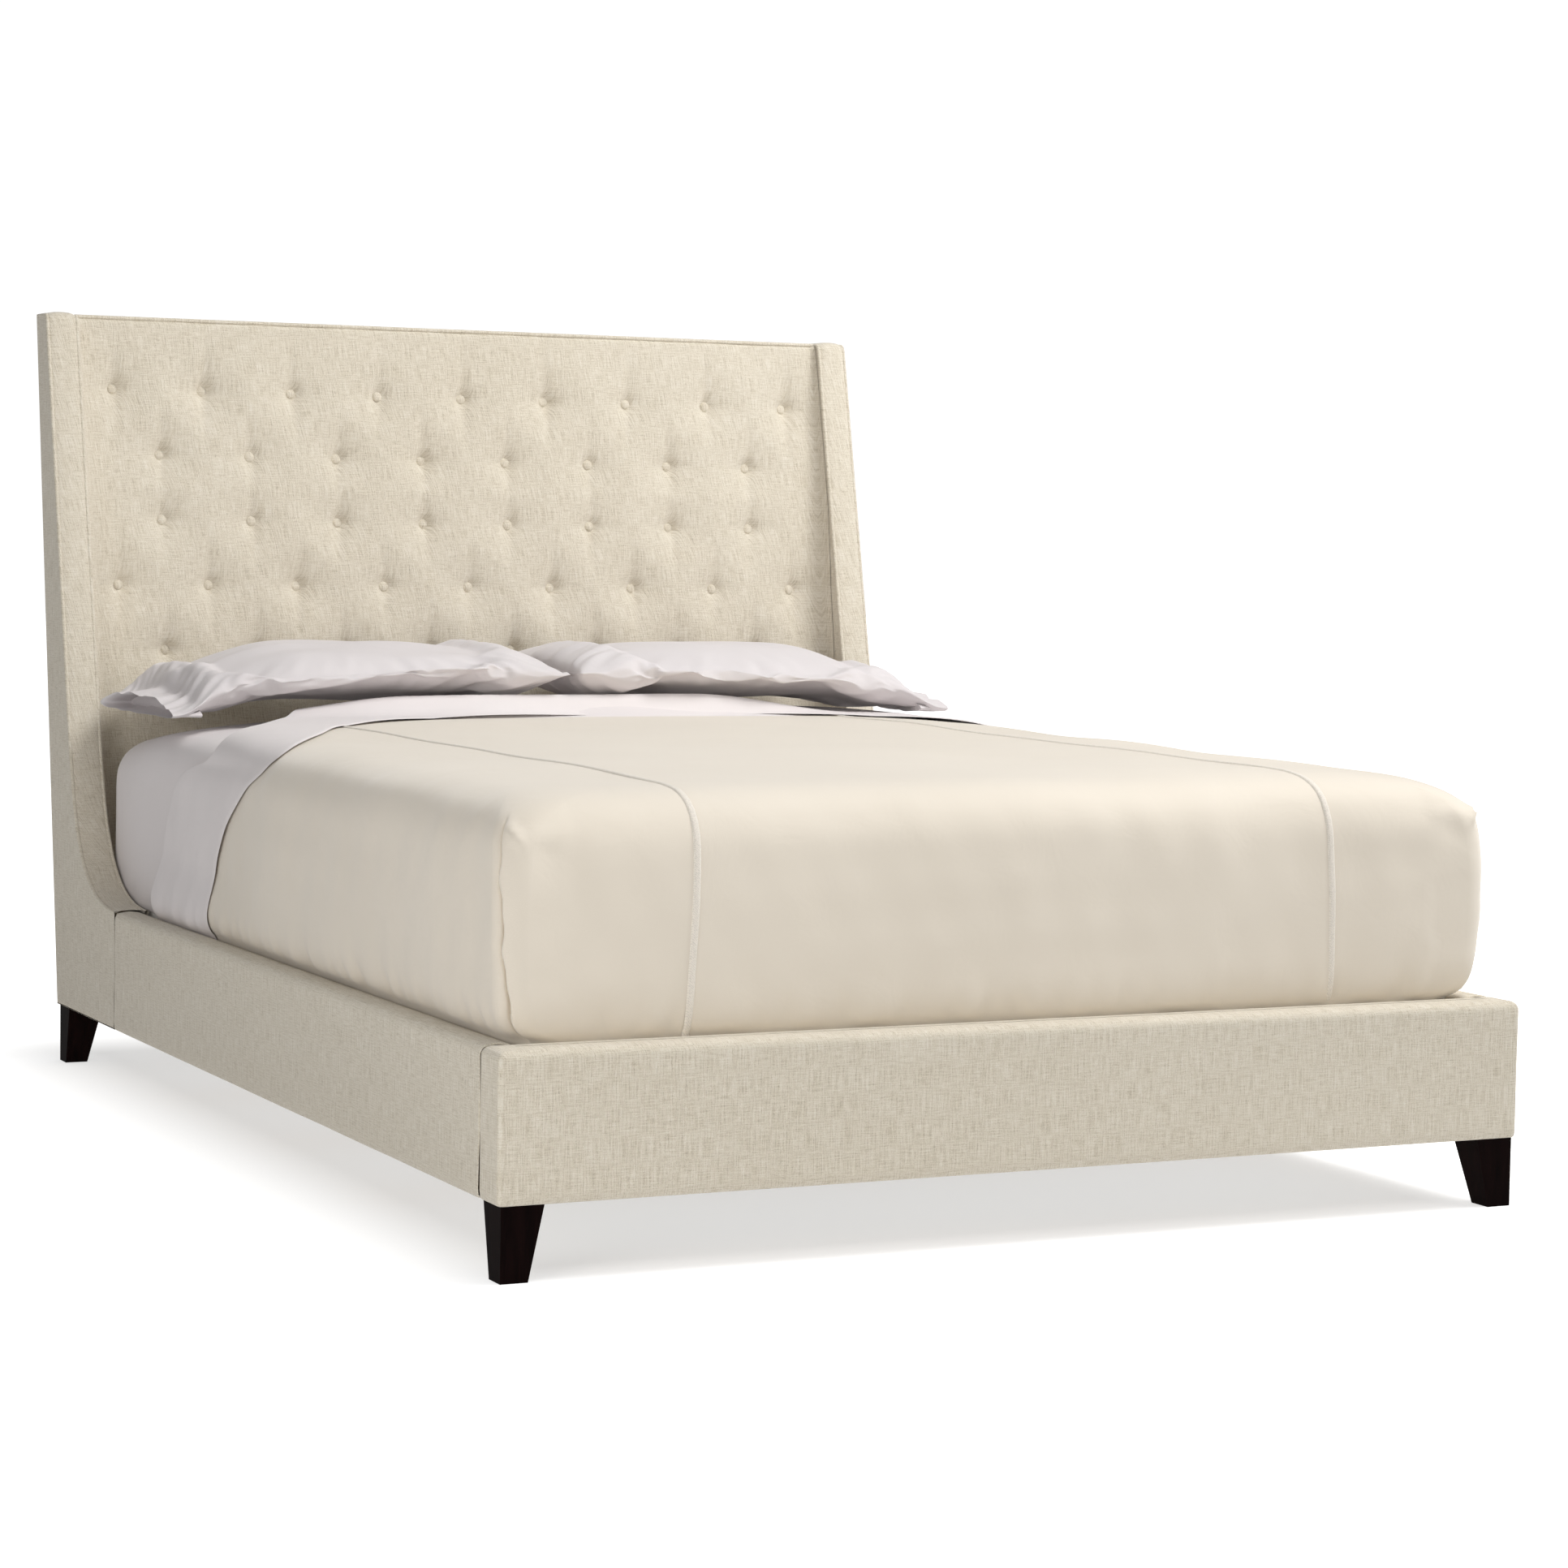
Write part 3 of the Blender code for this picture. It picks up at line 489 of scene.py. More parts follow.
def mattress_ticking():
    """White knitted ticking with a quilted diamond in low relief."""
    look = Look("mattress_ticking", 0.88, Sheen_Weight=0.2)
    across, along = thread_places(look)
    cell = math.pi / 0.055
    diamonds = ((across + along) * cell).math("SINE") * ((across - along) * cell).math("SINE")
    quilt = diamonds.math("ABSOLUTE").math("POWER", 0.35)
    fine = look.noise(look.place, 500.0)
    colour = look.ramp(quilt * 0.5 + fine * 0.5, (0.2, (0.70, 0.69, 0.66)), (0.7, (0.86, 0.85, 0.82)))
    return look.wear(colour, look.bump(fine, 0.0003, 0.4, Normal=look.bump(quilt, 0.006, 0.8)))


LINEN = woven_upholstery()
SHEET = cotton("white_percale", (0.81, 0.765, 0.760), (0.76, 0.712, 0.708), 0.82, 0.0035, 0.15)
COVERLET_CLOTH = cotton("cream_sateen", (0.83, 0.757, 0.648), (0.775, 0.702, 0.594), 0.72, 0.0035, 0.40)
PILLOW_CLOTH = cotton("pillow_percale", (0.735, 0.697, 0.700), (0.687, 0.646, 0.648), 0.80, 0.0030, 0.12)
SEAM_CLOTH = stitched_cotton("cream_stitching", (0.86, 0.80, 0.71))
SHEET_SEAM = stitched_cotton("white_stitching", (0.82, 0.79, 0.79))
ESPRESSO = espresso_wood()
LUMBER = sawn_lumber()
STEEL = zinc_steel()
PLASTIC = black_plastic()
TICKING = mattress_ticking()

# ---- Headboard panel ----


def button_places():
    """Every button as (row number, X, height)."""
    places = []
    for row, count in enumerate(BUTTON_COLUMNS):
        height = BUTTON_TOP_ROW - row * BUTTON_ROW_PITCH
        for column in range(count):
            places.append((row, (column - (count - 1) / 2) * BUTTON_PITCH, height))
    return places


def panel_depth(x, z):
    """How far the padded face stands in front of the rear plane, with its dimples and valleys."""
    depth = PANEL_DEPTH + PANEL_CROWN + 0.0010 * ripples(3, x, z, 0.16)
    pull = np.zeros_like(depth)
    for number, (_, bx, bz) in enumerate(button_places()):
        near = (abs(x - bx) < 0.13) & (abs(z - bz) < 0.13)
        dx = x[near] - bx
        dz = z[near] - bz
        distance = np.sqrt(dx * dx + dz * dz)
        sway = 0.004 * math.sin(number * 2.4) * dz / 0.06
        funnel = 0.50 * gauss(distance, 0.0160) + 0.50 * gauss(distance, 0.050)
        upright = 0.22 * gauss(dx - sway, 0.011) * gauss(dz, 0.080)
        level = 0.10 * gauss(dz, 0.010) * gauss(dx, 0.050)
        amount = DIMPLE_DEPTH * (0.92 + 0.16 * math.sin(number * 1.7))
        pull[near] = np.maximum(pull[near], amount * (funnel + upright + level))
    edge = 0.35 * gauss(abs(x) - BUTTON_PITCH * 4.05, 0.018)
    rows = (z > 0.3) & (z < BUTTON_TOP_ROW + 0.06)
    pull += 0.0045 * edge * rows * (0.7 + 0.3 * np.cos(2 * math.pi * (z - BUTTON_TOP_ROW) / 0.3633))
    return depth - pull


def make_panel():
    """The tufted face, curving forward into the wings at both ends and rolling over its top."""
    reach = WING_INNER - 0.0004
    x = np.linspace(-reach, reach, int(2 * reach / PANEL_STEP) + 1)
    top = TOP - 0.0045
    roll = 0.010
    z = np.linspace(PANEL_BOTTOM, top - roll, int((top - PANEL_BOTTOM) / PANEL_STEP))
    gx, gz = np.meshgrid(x, z)
    depth = panel_depth(gx, gz)
    room = rear_at(gz) - depth - (WING_FRONT_TOP - WING_FRONT_SLOPE * (TOP - gz)) - 0.009
    corner = np.clip(room, 0.001, CORNER_ROUND)
    inwards = np.clip(abs(gx) - (reach - corner), 0, corner)
    depth += corner - np.sqrt(np.maximum(corner ** 2 - inwards ** 2, 0))
    face = placed(gx, rear_at(gz) - depth, gz)
    over = []
    for angle in np.linspace(0, math.pi / 2, 7)[1:]:
        height = top - roll + roll * math.sin(angle)
        inset = roll * (1 - math.cos(angle))
        row = face[-1].copy()
        row[:, 1] += LEAN * (height - z[-1]) + inset
        row[:, 2] = height
        over.append(row)
    for share in (0.35, 0.7, 1.0):
        row = over[5].copy()
        row[:, 1] = over[5][:, 1] * (1 - share) + (from_foot(rear_at(top)) - 0.002) * share
        over.append(row)
    under = face[0].copy()
    under[:, 1] = from_foot(rear_at(PANEL_BOTTOM)) - 0.022
    panel = Patches()
    panel.add(np.concatenate([under[None], face, np.array(over)]))
    piece = panel.build("headboard_face", LINEN, "bed_frame", "upholstery", ["headboard_tufted_pad"])


def make_buttons():
    """Each row of covered buttons with its shanks, seated at the bottom of the dimples."""
    normal = np.array([0, -math.cos(math.atan(LEAN)), math.sin(math.atan(LEAN))])
    across = np.array([1.0, 0, 0])
    up = np.cross(across, normal) * -1
    rows = {}
    for number, (row, x, z) in enumerate(button_places()):
        depth = float(panel_depth(np.array([[x]]), np.array([[z]]))[0, 0])
        seat = np.array([x, from_foot(rear_at(z)) - depth, z]) + normal * 0.0024
        tilt = 0.10 * math.sin(number * 3.1)
        lean = 0.10 * math.cos(number * 2.3)
        axis = unit(normal + across * tilt + up * lean)
        side = unit(np.cross(up, axis))
        over = np.cross(axis, side)
        r = BUTTON_RADIUS * (1 + 0.025 * math.sin(number * 1.9))
        profile = [(0.0018, -0.030), (0.0018, -0.0030), (0.62 * r, -0.0026), (0.93 * r, -0.0012)]
        profile += [
            (r * math.cos(a), BUTTON_DOME * math.sin(a) ** 0.85 + 0.0004)
            for a in np.linspace(0.05, math.pi / 2, 8)
        ]
        angles = np.linspace(0, 2 * math.pi, 28, endpoint=False)
        rings = []
        for radius, lift in profile:
            pleat = 1 + 0.012 * np.sin(angles * 9 + number) * (lift < 0.002)
            spots = np.outer(np.cos(angles) * pleat, side) + np.outer(np.sin(angles) * pleat, over)
            rings.append(seat + axis * lift + radius * spots)
        rows.setdefault(row, Patches()).add(np.array(rings), closed=True)
    for row, patches in rows.items():
        name = f"covered_buttons_{row + 1}"
        patches.build(name, LINEN, "bed_frame", "button_fabric", [f"button_row_{row + 1}"])


# ---- Wings ----


def wing_front_path(spacing=0.008):
    """The wing's edge from its rear top corner forward and down into the rail, as (u, z) points."""
    start = np.array([WING_FRONT_TOP - WING_FRONT_SLOPE * (TOP - WING_CURVE_TOP), WING_CURVE_TOP])
    pull = start + unit(np.array([-WING_FRONT_SLOPE, -1.0])) * WING_CURVE_PULL
    foot = np.array([WING_CURVE_FOOT, RAIL_TOP])
    end = np.array([SEAM + 0.0005, RAIL_TOP])
    curve = [
        (1 - t) ** 3 * start + 3 * t * (1 - t) ** 2 * pull + 3 * t * t * (1 - t) * foot + t ** 3 * end
        for t in np.linspace(0, 1, 40)
    ]
    corner = rounded_path([(rear_at(TOP), TOP), (WING_FRONT_TOP, TOP), start], 0.014)
    return resample(np.vstack([corner[:-1], curve]), spacing)


def left_normals(path):
    """Unit normals to the left of a path, which for the wing's edge is into the wing."""
    run = unit(np.gradient(path, axis=0))
    return np.stack([-run[:, 1], run[:, 0]], 1)


def edge_distance(points, *lines):
    """How far each (u, z) point lies from the nearest of some polylines."""
    best = np.full(len(points), np.inf)
    for line in lines:
        for a, b in zip(line, line[1:]):
            run = b - a
            t = np.clip(((points - a) @ run) / max(run @ run, 1e-12), 0, 1)
            best = np.minimum(best, np.linalg.norm(points - a - t[:, None] * run, axis=1))
    return best


def wing_side_grid(path):
    """Rows that run from the wing's edge to its rear and bottom, as (u, z) points."""
    inset = path + left_normals(path) * 0.0030
    first = int(np.argmax(path[:, 0] < WING_FRONT_TOP + 0.012))
    front = inset[first:]
    curve_start = int(np.argmax(front[:, 1] < WING_CURVE_TOP))
    rear_end = 0.0035
    corner = np.array([rear_at(RAIL_BOTTOM) - rear_end, RAIL_BOTTOM + 0.003])
    rear_top = np.array([rear_at(WING_CURVE_TOP) - rear_end, WING_CURVE_TOP])
    bottom_front = np.array([SEAM + 0.002, RAIL_BOTTOM + 0.003])
    count = len(front) - curve_start
    to_corner = int(count * 0.55)
    down = np.linspace(rear_top, corner, to_corner, endpoint=False)
    along = np.linspace(corner, bottom_front, count - to_corner)
    heights = front[:curve_start, 1]
    upper = np.stack([rear_at(heights) - rear_end, heights], 1)
    rear = np.concatenate([upper, down, along])
    shares = np.concatenate(
        [[0, 0.004, 0.009, 0.016, 0.03], np.linspace(0.06, 0.94, 18), [0.97, 0.985, 0.993, 1]]
    )[None, :, None]
    return front[:, None] * (1 - shares) + rear[:, None] * shares


def make_wing(side, sign):
    """One shelter wing: both faces, the band round its edge, its back and underside, and the outer cord."""
    path = wing_front_path()
    normals = left_normals(path)
    wing = Patches()
    grid = wing_side_grid(path)
    flat = grid.reshape(-1, 2)
    rear_line = np.array([[rear_at(TOP), TOP], [rear_at(RAIL_BOTTOM), RAIL_BOTTOM], [SEAM, RAIL_BOTTOM]])
    near = edge_distance(flat, path, rear_line).reshape(grid.shape[:2])
    roll = EDGE_ROLL - np.sqrt(np.maximum(EDGE_ROLL ** 2 - np.maximum(EDGE_ROLL - near, 0) ** 2, 0))
    soft = 0.0007 * ripples(11, grid[..., 0], grid[..., 1], 0.22) * smooth_step(0, 0.05, near)
    for x, outward in ((HALF_WIDTH - 0.0006, 1), (WING_INNER + 0.0006, -1)):
        face = placed(sign * (x - outward * (roll + abs(soft))), grid[..., 0], grid[..., 1])
        wing.add(face, flip=(sign * outward > 0))
    shares = np.linspace(-1, 1, 17)
    middle = (HALF_WIDTH + WING_INNER) / 2
    half = (HALF_WIDTH - WING_INNER) / 2 - 0.0030
    crest = np.where(path[:, 1] > TOP - 0.02, 0.0034, 0.0016)
    crest = np.convolve(np.pad(crest, 4, mode="edge"), np.ones(9) / 9, mode="valid")
    inward = 0.0030 * abs(shares[None]) ** 7 - crest[:, None] * (1 - shares[None] ** 2)
    spots = path[:, None] + normals[:, None] * inward[..., None]
    wing.add(placed(sign * (middle + half * shares), spots[..., 0], spots[..., 1]), flip=sign < 0)
    across = sign * (middle + (half + 0.001) * shares)
    heights = np.linspace(RAIL_BOTTOM, TOP, 90)[:, None]
    wing.add(placed(across, rear_at(heights) + 0.0012 - 0.0016 * abs(shares) ** 7, heights), flip=sign > 0)
    spans = np.linspace(SEAM + 0.001, rear_at(RAIL_BOTTOM), 30)[:, None]
    wing.add(placed(across, spans, RAIL_BOTTOM + 0.0004), flip=sign > 0)
    parts = [f"{part}_{side}" for part in ("wing_outer_cover", "wing_inner_pad", "wing_front_band")]
    piece = wing.build(f"wing_cover_{side}", LINEN, "bed_frame", "upholstery", parts)

    cord = path + normals * (WELT_INSET - 0.0008)
    line = placed(sign * (HALF_WIDTH - WELT_INSET + 0.0004), cord[:, 0], cord[:, 1])
    welt = Patches().add(tube_rings(line[1:], WELT_RADIUS), closed=True)
    welt.build(f"outer_welt_{side}", LINEN, "bed_frame", "upholstery", [f"wing_outer_welt_{side}"])


def make_inner_welt():
    """One cord up the inner edge of one wing, along the headboard's top and down the other wing."""
    path = wing_front_path()
    cord = path + left_normals(path) * (WELT_INSET - 0.0008)
    panel_front = rear_at(TOP) - PANEL_DEPTH - 0.001
    keep = (cord[:, 0] < panel_front - 0.006) | (cord[:, 1] < TOP - 0.01)
    rise = cord[keep][::-1]
    x = WING_INNER + WELT_INSET - 0.0004
    half = np.vstack([rise, (panel_front, TOP - WELT_INSET + 0.0006)])
    half = placed(-x, half[:, 0], half[:, 1])
    other = half[::-1] * [-1, 1, 1]
    bridge = rounded_path([half[-2], half[-1], other[0], other[1]], 0.024, steps=10)
    line = resample(np.vstack([half[:-2], bridge, other[2:]]), 0.008)
    welt = Patches().add(tube_rings(line, WELT_RADIUS), closed=True)
    welt.build("inner_welt_cord", LINEN, "bed_frame", "upholstery", ["inner_welt"])


def make_back():
    """The fabric drawn over the back, between the wings, with a stapled fold along its sides."""
    reach = WING_INNER - 0.001
    x = np.linspace(-reach, reach, 120)
    z = np.linspace(PANEL_BOTTOM, TOP - 0.0048, 100)
    gx, gz = np.meshgrid(x, z)
    rim = np.minimum(np.minimum(reach - abs(gx), gz - z[0]), z[-1] - gz)
    sink = 0.0024 * gauss(rim, 0.004) + 0.0006 * abs(ripples(5, gx, gz, 0.35))
    tack = 0.0012 * gauss(rim, 0.03) * (1 + np.sin((gx + gz) * 2 * math.pi / 0.055)) / 2
    back = Patches().add(placed(gx, rear_at(gz) - sink - tack, gz), flip=True)
    piece = back.build("back_fabric", LINEN, "bed_frame", "upholstery", ["headboard_back_cover"])


# ---- Rails ----


def rail_edge(height):
    """The outer part of a rail's section as (inset, height): from under its edge up over its shoulder."""
    points = [(0.0075, 0.0), (0.0030, 0.0004), (0.0008, 0.0030)]
    points += [(0.0, z) for z in np.linspace(0.012, height - RAIL_ROUND - 0.004, 14)]
    return points + shoulder(height, np.linspace(0, math.pi / 2, 9)[1:])


def shoulder(height, angles):
    """The rounded edge of a rail's section, at these angles from its outer face."""
    return [
        (RAIL_ROUND * (1 - math.cos(a)), height - RAIL_CROWN - RAIL_ROUND * (1 - math.sin(a))) for a in angles
    ]


def rail_section(width, height):
    """A rail's section as (inset, height): up its outer face, over its padded top, down its inner face."""
    points = rail_edge(height)
    for share in np.linspace(0.15, 0.85, 5):
        rise = RAIL_CROWN * math.sin(math.pi * share)
        points.append((RAIL_ROUND + (width - 2 * RAIL_ROUND) * share, height - RAIL_CROWN + rise))
    points += [(width - inset, z) for inset, z in shoulder(height, np.linspace(math.pi / 2, 0, 9)[:-1])]
    points += [(width, z) for z in np.linspace(height - RAIL_ROUND - 0.004, 0.012, 8)]
    points += [(width - 0.0008, 0.0030), (width - 0.0030, 0.0004), (width - 0.0075, 0.0)]
    return np.array(points)


def end_roll(distance, radius=0.0045):
    """How far a surface has rolled in at this distance from its end."""
    t = np.clip(1 - distance / radius, 0, 1)
    return radius * 0.55 * (1 - np.sqrt(1 - t * t))


def make_side_rail(side, sign):
    """A padded side rail: one section drawn along it, rolled in a little at both ends."""
    section = rail_section(HALF_WIDTH - RAIL_INNER, RAIL_TOP - RAIL_BOTTOM)
    start = FOOT_RAIL_BACK + 0.0004
    ends = [0, 0.0006, 0.0015, 0.003, 0.005]
    spans = np.concatenate([[start + e for e in ends], np.linspace(start + 0.012, SEAM - 0.012, 170),
                            [SEAM - e for e in ends[::-1]]])
    centre = np.array([(HALF_WIDTH - RAIL_INNER) / 2, (RAIL_TOP - RAIL_BOTTOM) / 2])
    rows = []
    for u in spans:
        shrink = end_roll(min(u - start, SEAM - u))
        reach = section - centre
        length = np.linalg.norm(reach, axis=1)[:, None]
        spot = centre + reach * (1 - shrink / length)
        wave = 0.0006 * ripples(21, u, spot[:, 1], 0.30)
        x = sign * (HALF_WIDTH - spot[:, 0] - abs(wave) * (spot[:, 0] < 0.004))
        rows.append(placed(x, u, RAIL_BOTTOM + spot[:, 1]))
    rail = Patches().add(np.array(rows), closed=True, flip=sign > 0)
    piece = rail.build(f"side_rail_fabric_{side}", LINEN, "bed_frame", "upholstery",
                       [f"side_rail_cover_{side}"])


def plan_ring(half_x, low_u, high_u, radius, long=150, wide=8):
    """A rounded rectangle in plan, as (x, u) points: long steps along its ends, wide along its sides."""
    corners = [(half_x, low_u), (half_x, high_u), (-half_x, high_u), (-half_x, low_u)]
    signs = [(-1, 1), (-1, -1), (1, -1), (1, 1)]
    starts = [-math.pi / 2, 0, math.pi / 2, math.pi]
    points = []
    for (cx, cu), (sx, su), begin in zip(corners, signs, starts):
        middle = np.array([cx + sx * radius, cu + su * radius])
        for angle in np.linspace(begin, begin + math.pi / 2, 8):
            points.append(middle + radius * np.array([math.cos(angle), math.sin(angle)]))
    ring = []
    for k, steps in zip(range(4), (wide, long, wide, long)):
        ring += points[8 * k:8 * k + 8]
        a, b = points[8 * k + 7], points[(8 * k + 8) % 32]
        ring += [a + (b - a) * t for t in np.linspace(0, 1, steps + 1)[1:-1]]
    return np.array(ring)


def make_foot_rail():
    """A padded box wrapped in one piece of cloth, soft along its edges."""
    width = FOOT_RAIL_BACK
    height = RAIL_TOP - RAIL_BOTTOM
    levels = rail_edge(height)
    for share in np.linspace(0.2, 1, 6):
        inset = RAIL_ROUND + (width / 2 - 0.001 - RAIL_ROUND) * share
        levels.append((inset, height - RAIL_CROWN + RAIL_CROWN * math.sin(math.pi / 2 * share)))
    rows = []
    for inset, z in levels:
        ring = plan_ring(HALF_WIDTH - inset, inset, width - inset, max(0.0085 - inset * 0.5, 0.0006))
        wave = 0.0006 * abs(ripples(22, ring[:, 0], z, 0.30))
        rows.append(placed(ring[:, 0], ring[:, 1] + wave * (ring[:, 1] < 0.01), RAIL_BOTTOM + z))
    rail = Patches().add(np.array(rows), closed=True)
    piece = rail.build("foot_rail_fabric", LINEN, "bed_frame", "upholstery", ["foot_rail_cover"])


# ---- Bedding ----

# Half-width of the bedding and its height, from the tucked hem over the rounded edge to the middle.
COVERLET_SECTION = (
    (0.7665, 0.300), (0.7700, 0.312), (0.7860, 0.327), (0.7975, 0.360), (0.8020, 0.420),
    (0.8015, 0.500), (0.7980, 0.560), (0.7880, 0.596), (0.7700, 0.621), (0.7400, 0.638),
    (0.7000, 0.6465), (0.6400, 0.6500), (0.5000, 0.6520), (0.2000, 0.6532), (0.0080, 0.6535),
)


def bedding_section(spacing):
    return spline(COVERLET_SECTION, spacing)


def section_slope(section, k):
    """The direction of the half section at its point k."""
    return unit(section[min(k + 1, len(section) - 1)] - section[max(k - 1, 0)])


def read_line(left, right, arc):
    """A line across the bed, from its places on the left and on the right of the middle."""
    places = [(-a, u) for a, u in reversed(left)] + list(right[1:])
    curve = spline(places, 0.01)
    return np.interp(arc, curve[:, 0], curve[:, 1])


def cuff_edge(arc):
    return read_line(CUFF_EDGE_LEFT, CUFF_EDGE_RIGHT, arc)


def cuff_fold(arc):
    return read_line(CUFF_FOLD_LEFT, CUFF_FOLD_RIGHT, arc)


def section_arcs(section):
    """The distance over the bed from its middle, for each point of the half section."""
    return run_lengths(section[::-1])[::-1]


def bedding_unevenness(points):
    """How far the made bed's surface stands off its plain shape, from soft creases and tucks."""
    x, u, z = points[..., 0], points[..., 1] - FOOT_Y, points[..., 2]
    on_top = smooth_step(0.60, 0.65, z)
    soft = 0.0026 * ripples(31, x, u, 0.55) * on_top * smooth_step(1.80, 1.60, u)
    run = np.where(abs(x) > 0.70, u, x)
    sides = (1 - on_top) * (0.0026 * ripples(32, run, z * 0.8, 0.30) + 0.0010 * ripples(33, run, z, 0.10))
    gathers = 0.0030 * gauss(z - 0.325, 0.035) * ripples(34, run, z * 0.15, 0.060)
    slimmer = -0.029 * smooth_step(0.95, 1.46, u) * (1 - on_top) * smooth_step(0.600, 0.700, abs(x))
    slimmer *= smooth_step(0.300, 0.430, z)
    return soft + sides + gathers + slimmer


def coverlet_columns():
    """Places round the U of the coverlet: (kind, share), dense where the corner folds lie."""
    closing = 1 - np.linspace(1, 0, 190) ** 1.5
    turn = np.linspace(0, 1, 66)[1:]
    foot = np.linspace(0, 1, 150)[1:]
    runs = (("left", closing), ("turn_left", turn), ("foot", foot), ("turn_right", turn),
            ("right", 1 - closing[::-1][1:]))
    return [(kind, t) for kind, shares in runs for t in shares]


def foot_place(half, z):
    """How far from the foot the bedding's foot face is, where its sides are this far out and this high."""
    return COVERLET_FOOT + (COVERLET_HALF - half) * (0.45 + 0.55 * float(smooth_step(0.33, 0.42, z)))


def u_ring(half, z, heads, columns):
    """A U in plan, open at the head: down the left side, round the foot and up the right side."""
    inset = COVERLET_HALF - half
    foot = foot_place(half, z)
    radius = min(0.040 + inset * 0.6, half)
    points = np.zeros((len(columns), 2))
    outward = np.zeros((len(columns), 2))
    for k, (kind, t) in enumerate(columns):
        if kind == "left":
            points[k] = (-half, heads[0] + (foot + radius - heads[0]) * t)
            outward[k] = (-1, 0)
        elif kind == "right":
            points[k] = (half, foot + radius + (heads[1] - foot - radius) * t)
            outward[k] = (1, 0)
        elif kind == "foot":
            points[k] = (-half + radius + 2 * (half - radius) * t, foot)
            outward[k] = (0, -1)
        else:
            turn = math.pi * (1 + t / 2) if kind == "turn_left" else math.pi * (1.5 + t / 2)
            centre = -half + radius if kind == "turn_left" else half - radius
            outward[k] = (math.cos(turn), math.sin(turn))
            points[k] = (centre + radius * outward[k][0], foot + radius + radius * outward[k][1])
    return points, outward


def fold_profile(columns, z):
    """The stand-off of the mitred corner fold: the foot's cloth ends in a proud, wavy edge, and the
    side's cloth runs in behind it."""
    arc = 0.063
    ends = {"left": (-1.6, 0), "turn_left": (0, arc), "turn_right": (arc, 0), "right": (0, -1.6)}
    place = []
    for kind, t in columns:
        if kind == "foot":
            place.append(arc + min(t, 1 - t) * 1.5)
        else:
            place.append(ends[kind][0] * (1 - t) + ends[kind][1] * t)
    place = np.array(place) - 0.44 * arc
    place += 0.0022 * math.sin(z * 62) + 0.0013 * math.sin(z * 131 + 1.0) + 0.06 * (z - 0.45)
    over = place >= 0
    round_edge = 0.0030
    lip = np.sqrt(np.clip(1 - (np.clip(round_edge - place, 0, None) / round_edge) ** 2, 0, 1))
    flap = FOLD_HEIGHT * lip * smooth_step(0.120, 0.004, place) * over
    groove = -GROOVE_DEPTH * gauss(place + 0.0018, 0.0026) * ~over
    hollow = -0.0048 * gauss(place + 0.0010, 0.0105) * ~over
    reach = float(smooth_step(0.606, 0.588, z))
    ear = 0.0085 * gauss(place - 0.005 - 0.9 * max(0.598 - z, 0), 0.0065) * gauss(z - 0.588, 0.014) * over
    dimple = -0.0040 * gauss(z - 0.566, 0.020) * gauss(place - 0.058, 0.022)
    return (flap + groove + hollow) * reach + ear + dimple


def make_coverlet():
    """The coverlet drawn over the mattress and tucked in all round, with folded corners at the foot."""
    columns = coverlet_columns()
    section = bedding_section(0.0085)
    section[-1, 0] = 0
    arcs = section_arcs(section)
    rows = []
    for k, (half, z) in enumerate(section):
        heads = [float(cuff_fold(np.array(arc))) - 0.045 for arc in (-arcs[k], arcs[k])]
        points, outward = u_ring(half, z, heads, columns)
        slope = section_slope(section, k)
        spot = placed(points[:, 0], points[:, 1], z)
        normal = np.column_stack([outward * slope[1], np.full(len(points), -slope[0])])
        if k == len(section) - 1:
            normal = np.broadcast_to([0.0, 0.0, 1.0], normal.shape)
        lift = bedding_unevenness(spot) + fold_profile(columns, z)
        hem = smooth_step(0.305, 0.33, z)
        rows.append(spot + normal * (lift * hem)[:, None])
    cover = Patches().add(np.array(rows), flip=True).weld()
    piece = cover.build("coverlet_cloth", COVERLET_CLOTH, "mattress", "coverlet_cotton", ["coverlet"])


def seam_ridge(name, x, material):
    """A felled seam: a narrow raised strip along the coverlet, from its cuff down over the foot."""
    section = bedding_section(0.006)
    line = []
    normals = []
    for k, (half, z) in enumerate(section):
        if z < 0.305 or half < abs(x):
            continue
        slope = section_slope(section, k)
        line.append((x, from_foot(foot_place(half, z)), z))
        normals.append((0, -slope[1], -slope[0]))
    top = line[-1]
    for y in np.arange(top[1] + 0.006, from_foot(1.72), 0.006):
        line.append((x, y, top[2]))
        normals.append(normals[-1] if len(line) < 3 else (0, 0, 1))
    line = np.array(line)
    normals = np.array(normals)
    drift = 0.008 * ripples(41, line[:, 1], line[:, 2], 0.9) * np.sign(x)
    line[:, 0] += drift
    lift = bedding_unevenness(line)
    shares = np.linspace(-1, 1, 9)
    pucker = 0.0003 * np.sin(np.arange(len(line)) * 2.1)
    rows = []
    for share in shares:
        height = 0.0026 * (1 - abs(share) ** 4) - 0.0002 * abs(share) ** 4
        spot = line + normals * (lift + height + pucker)[:, None]
        spot[:, 0] += share * 0.0058
        rows.append(spot)
    strip = Patches().add(np.array(rows), flip=True)
    strip.build(name, material, "mattress", "coverlet_cotton")


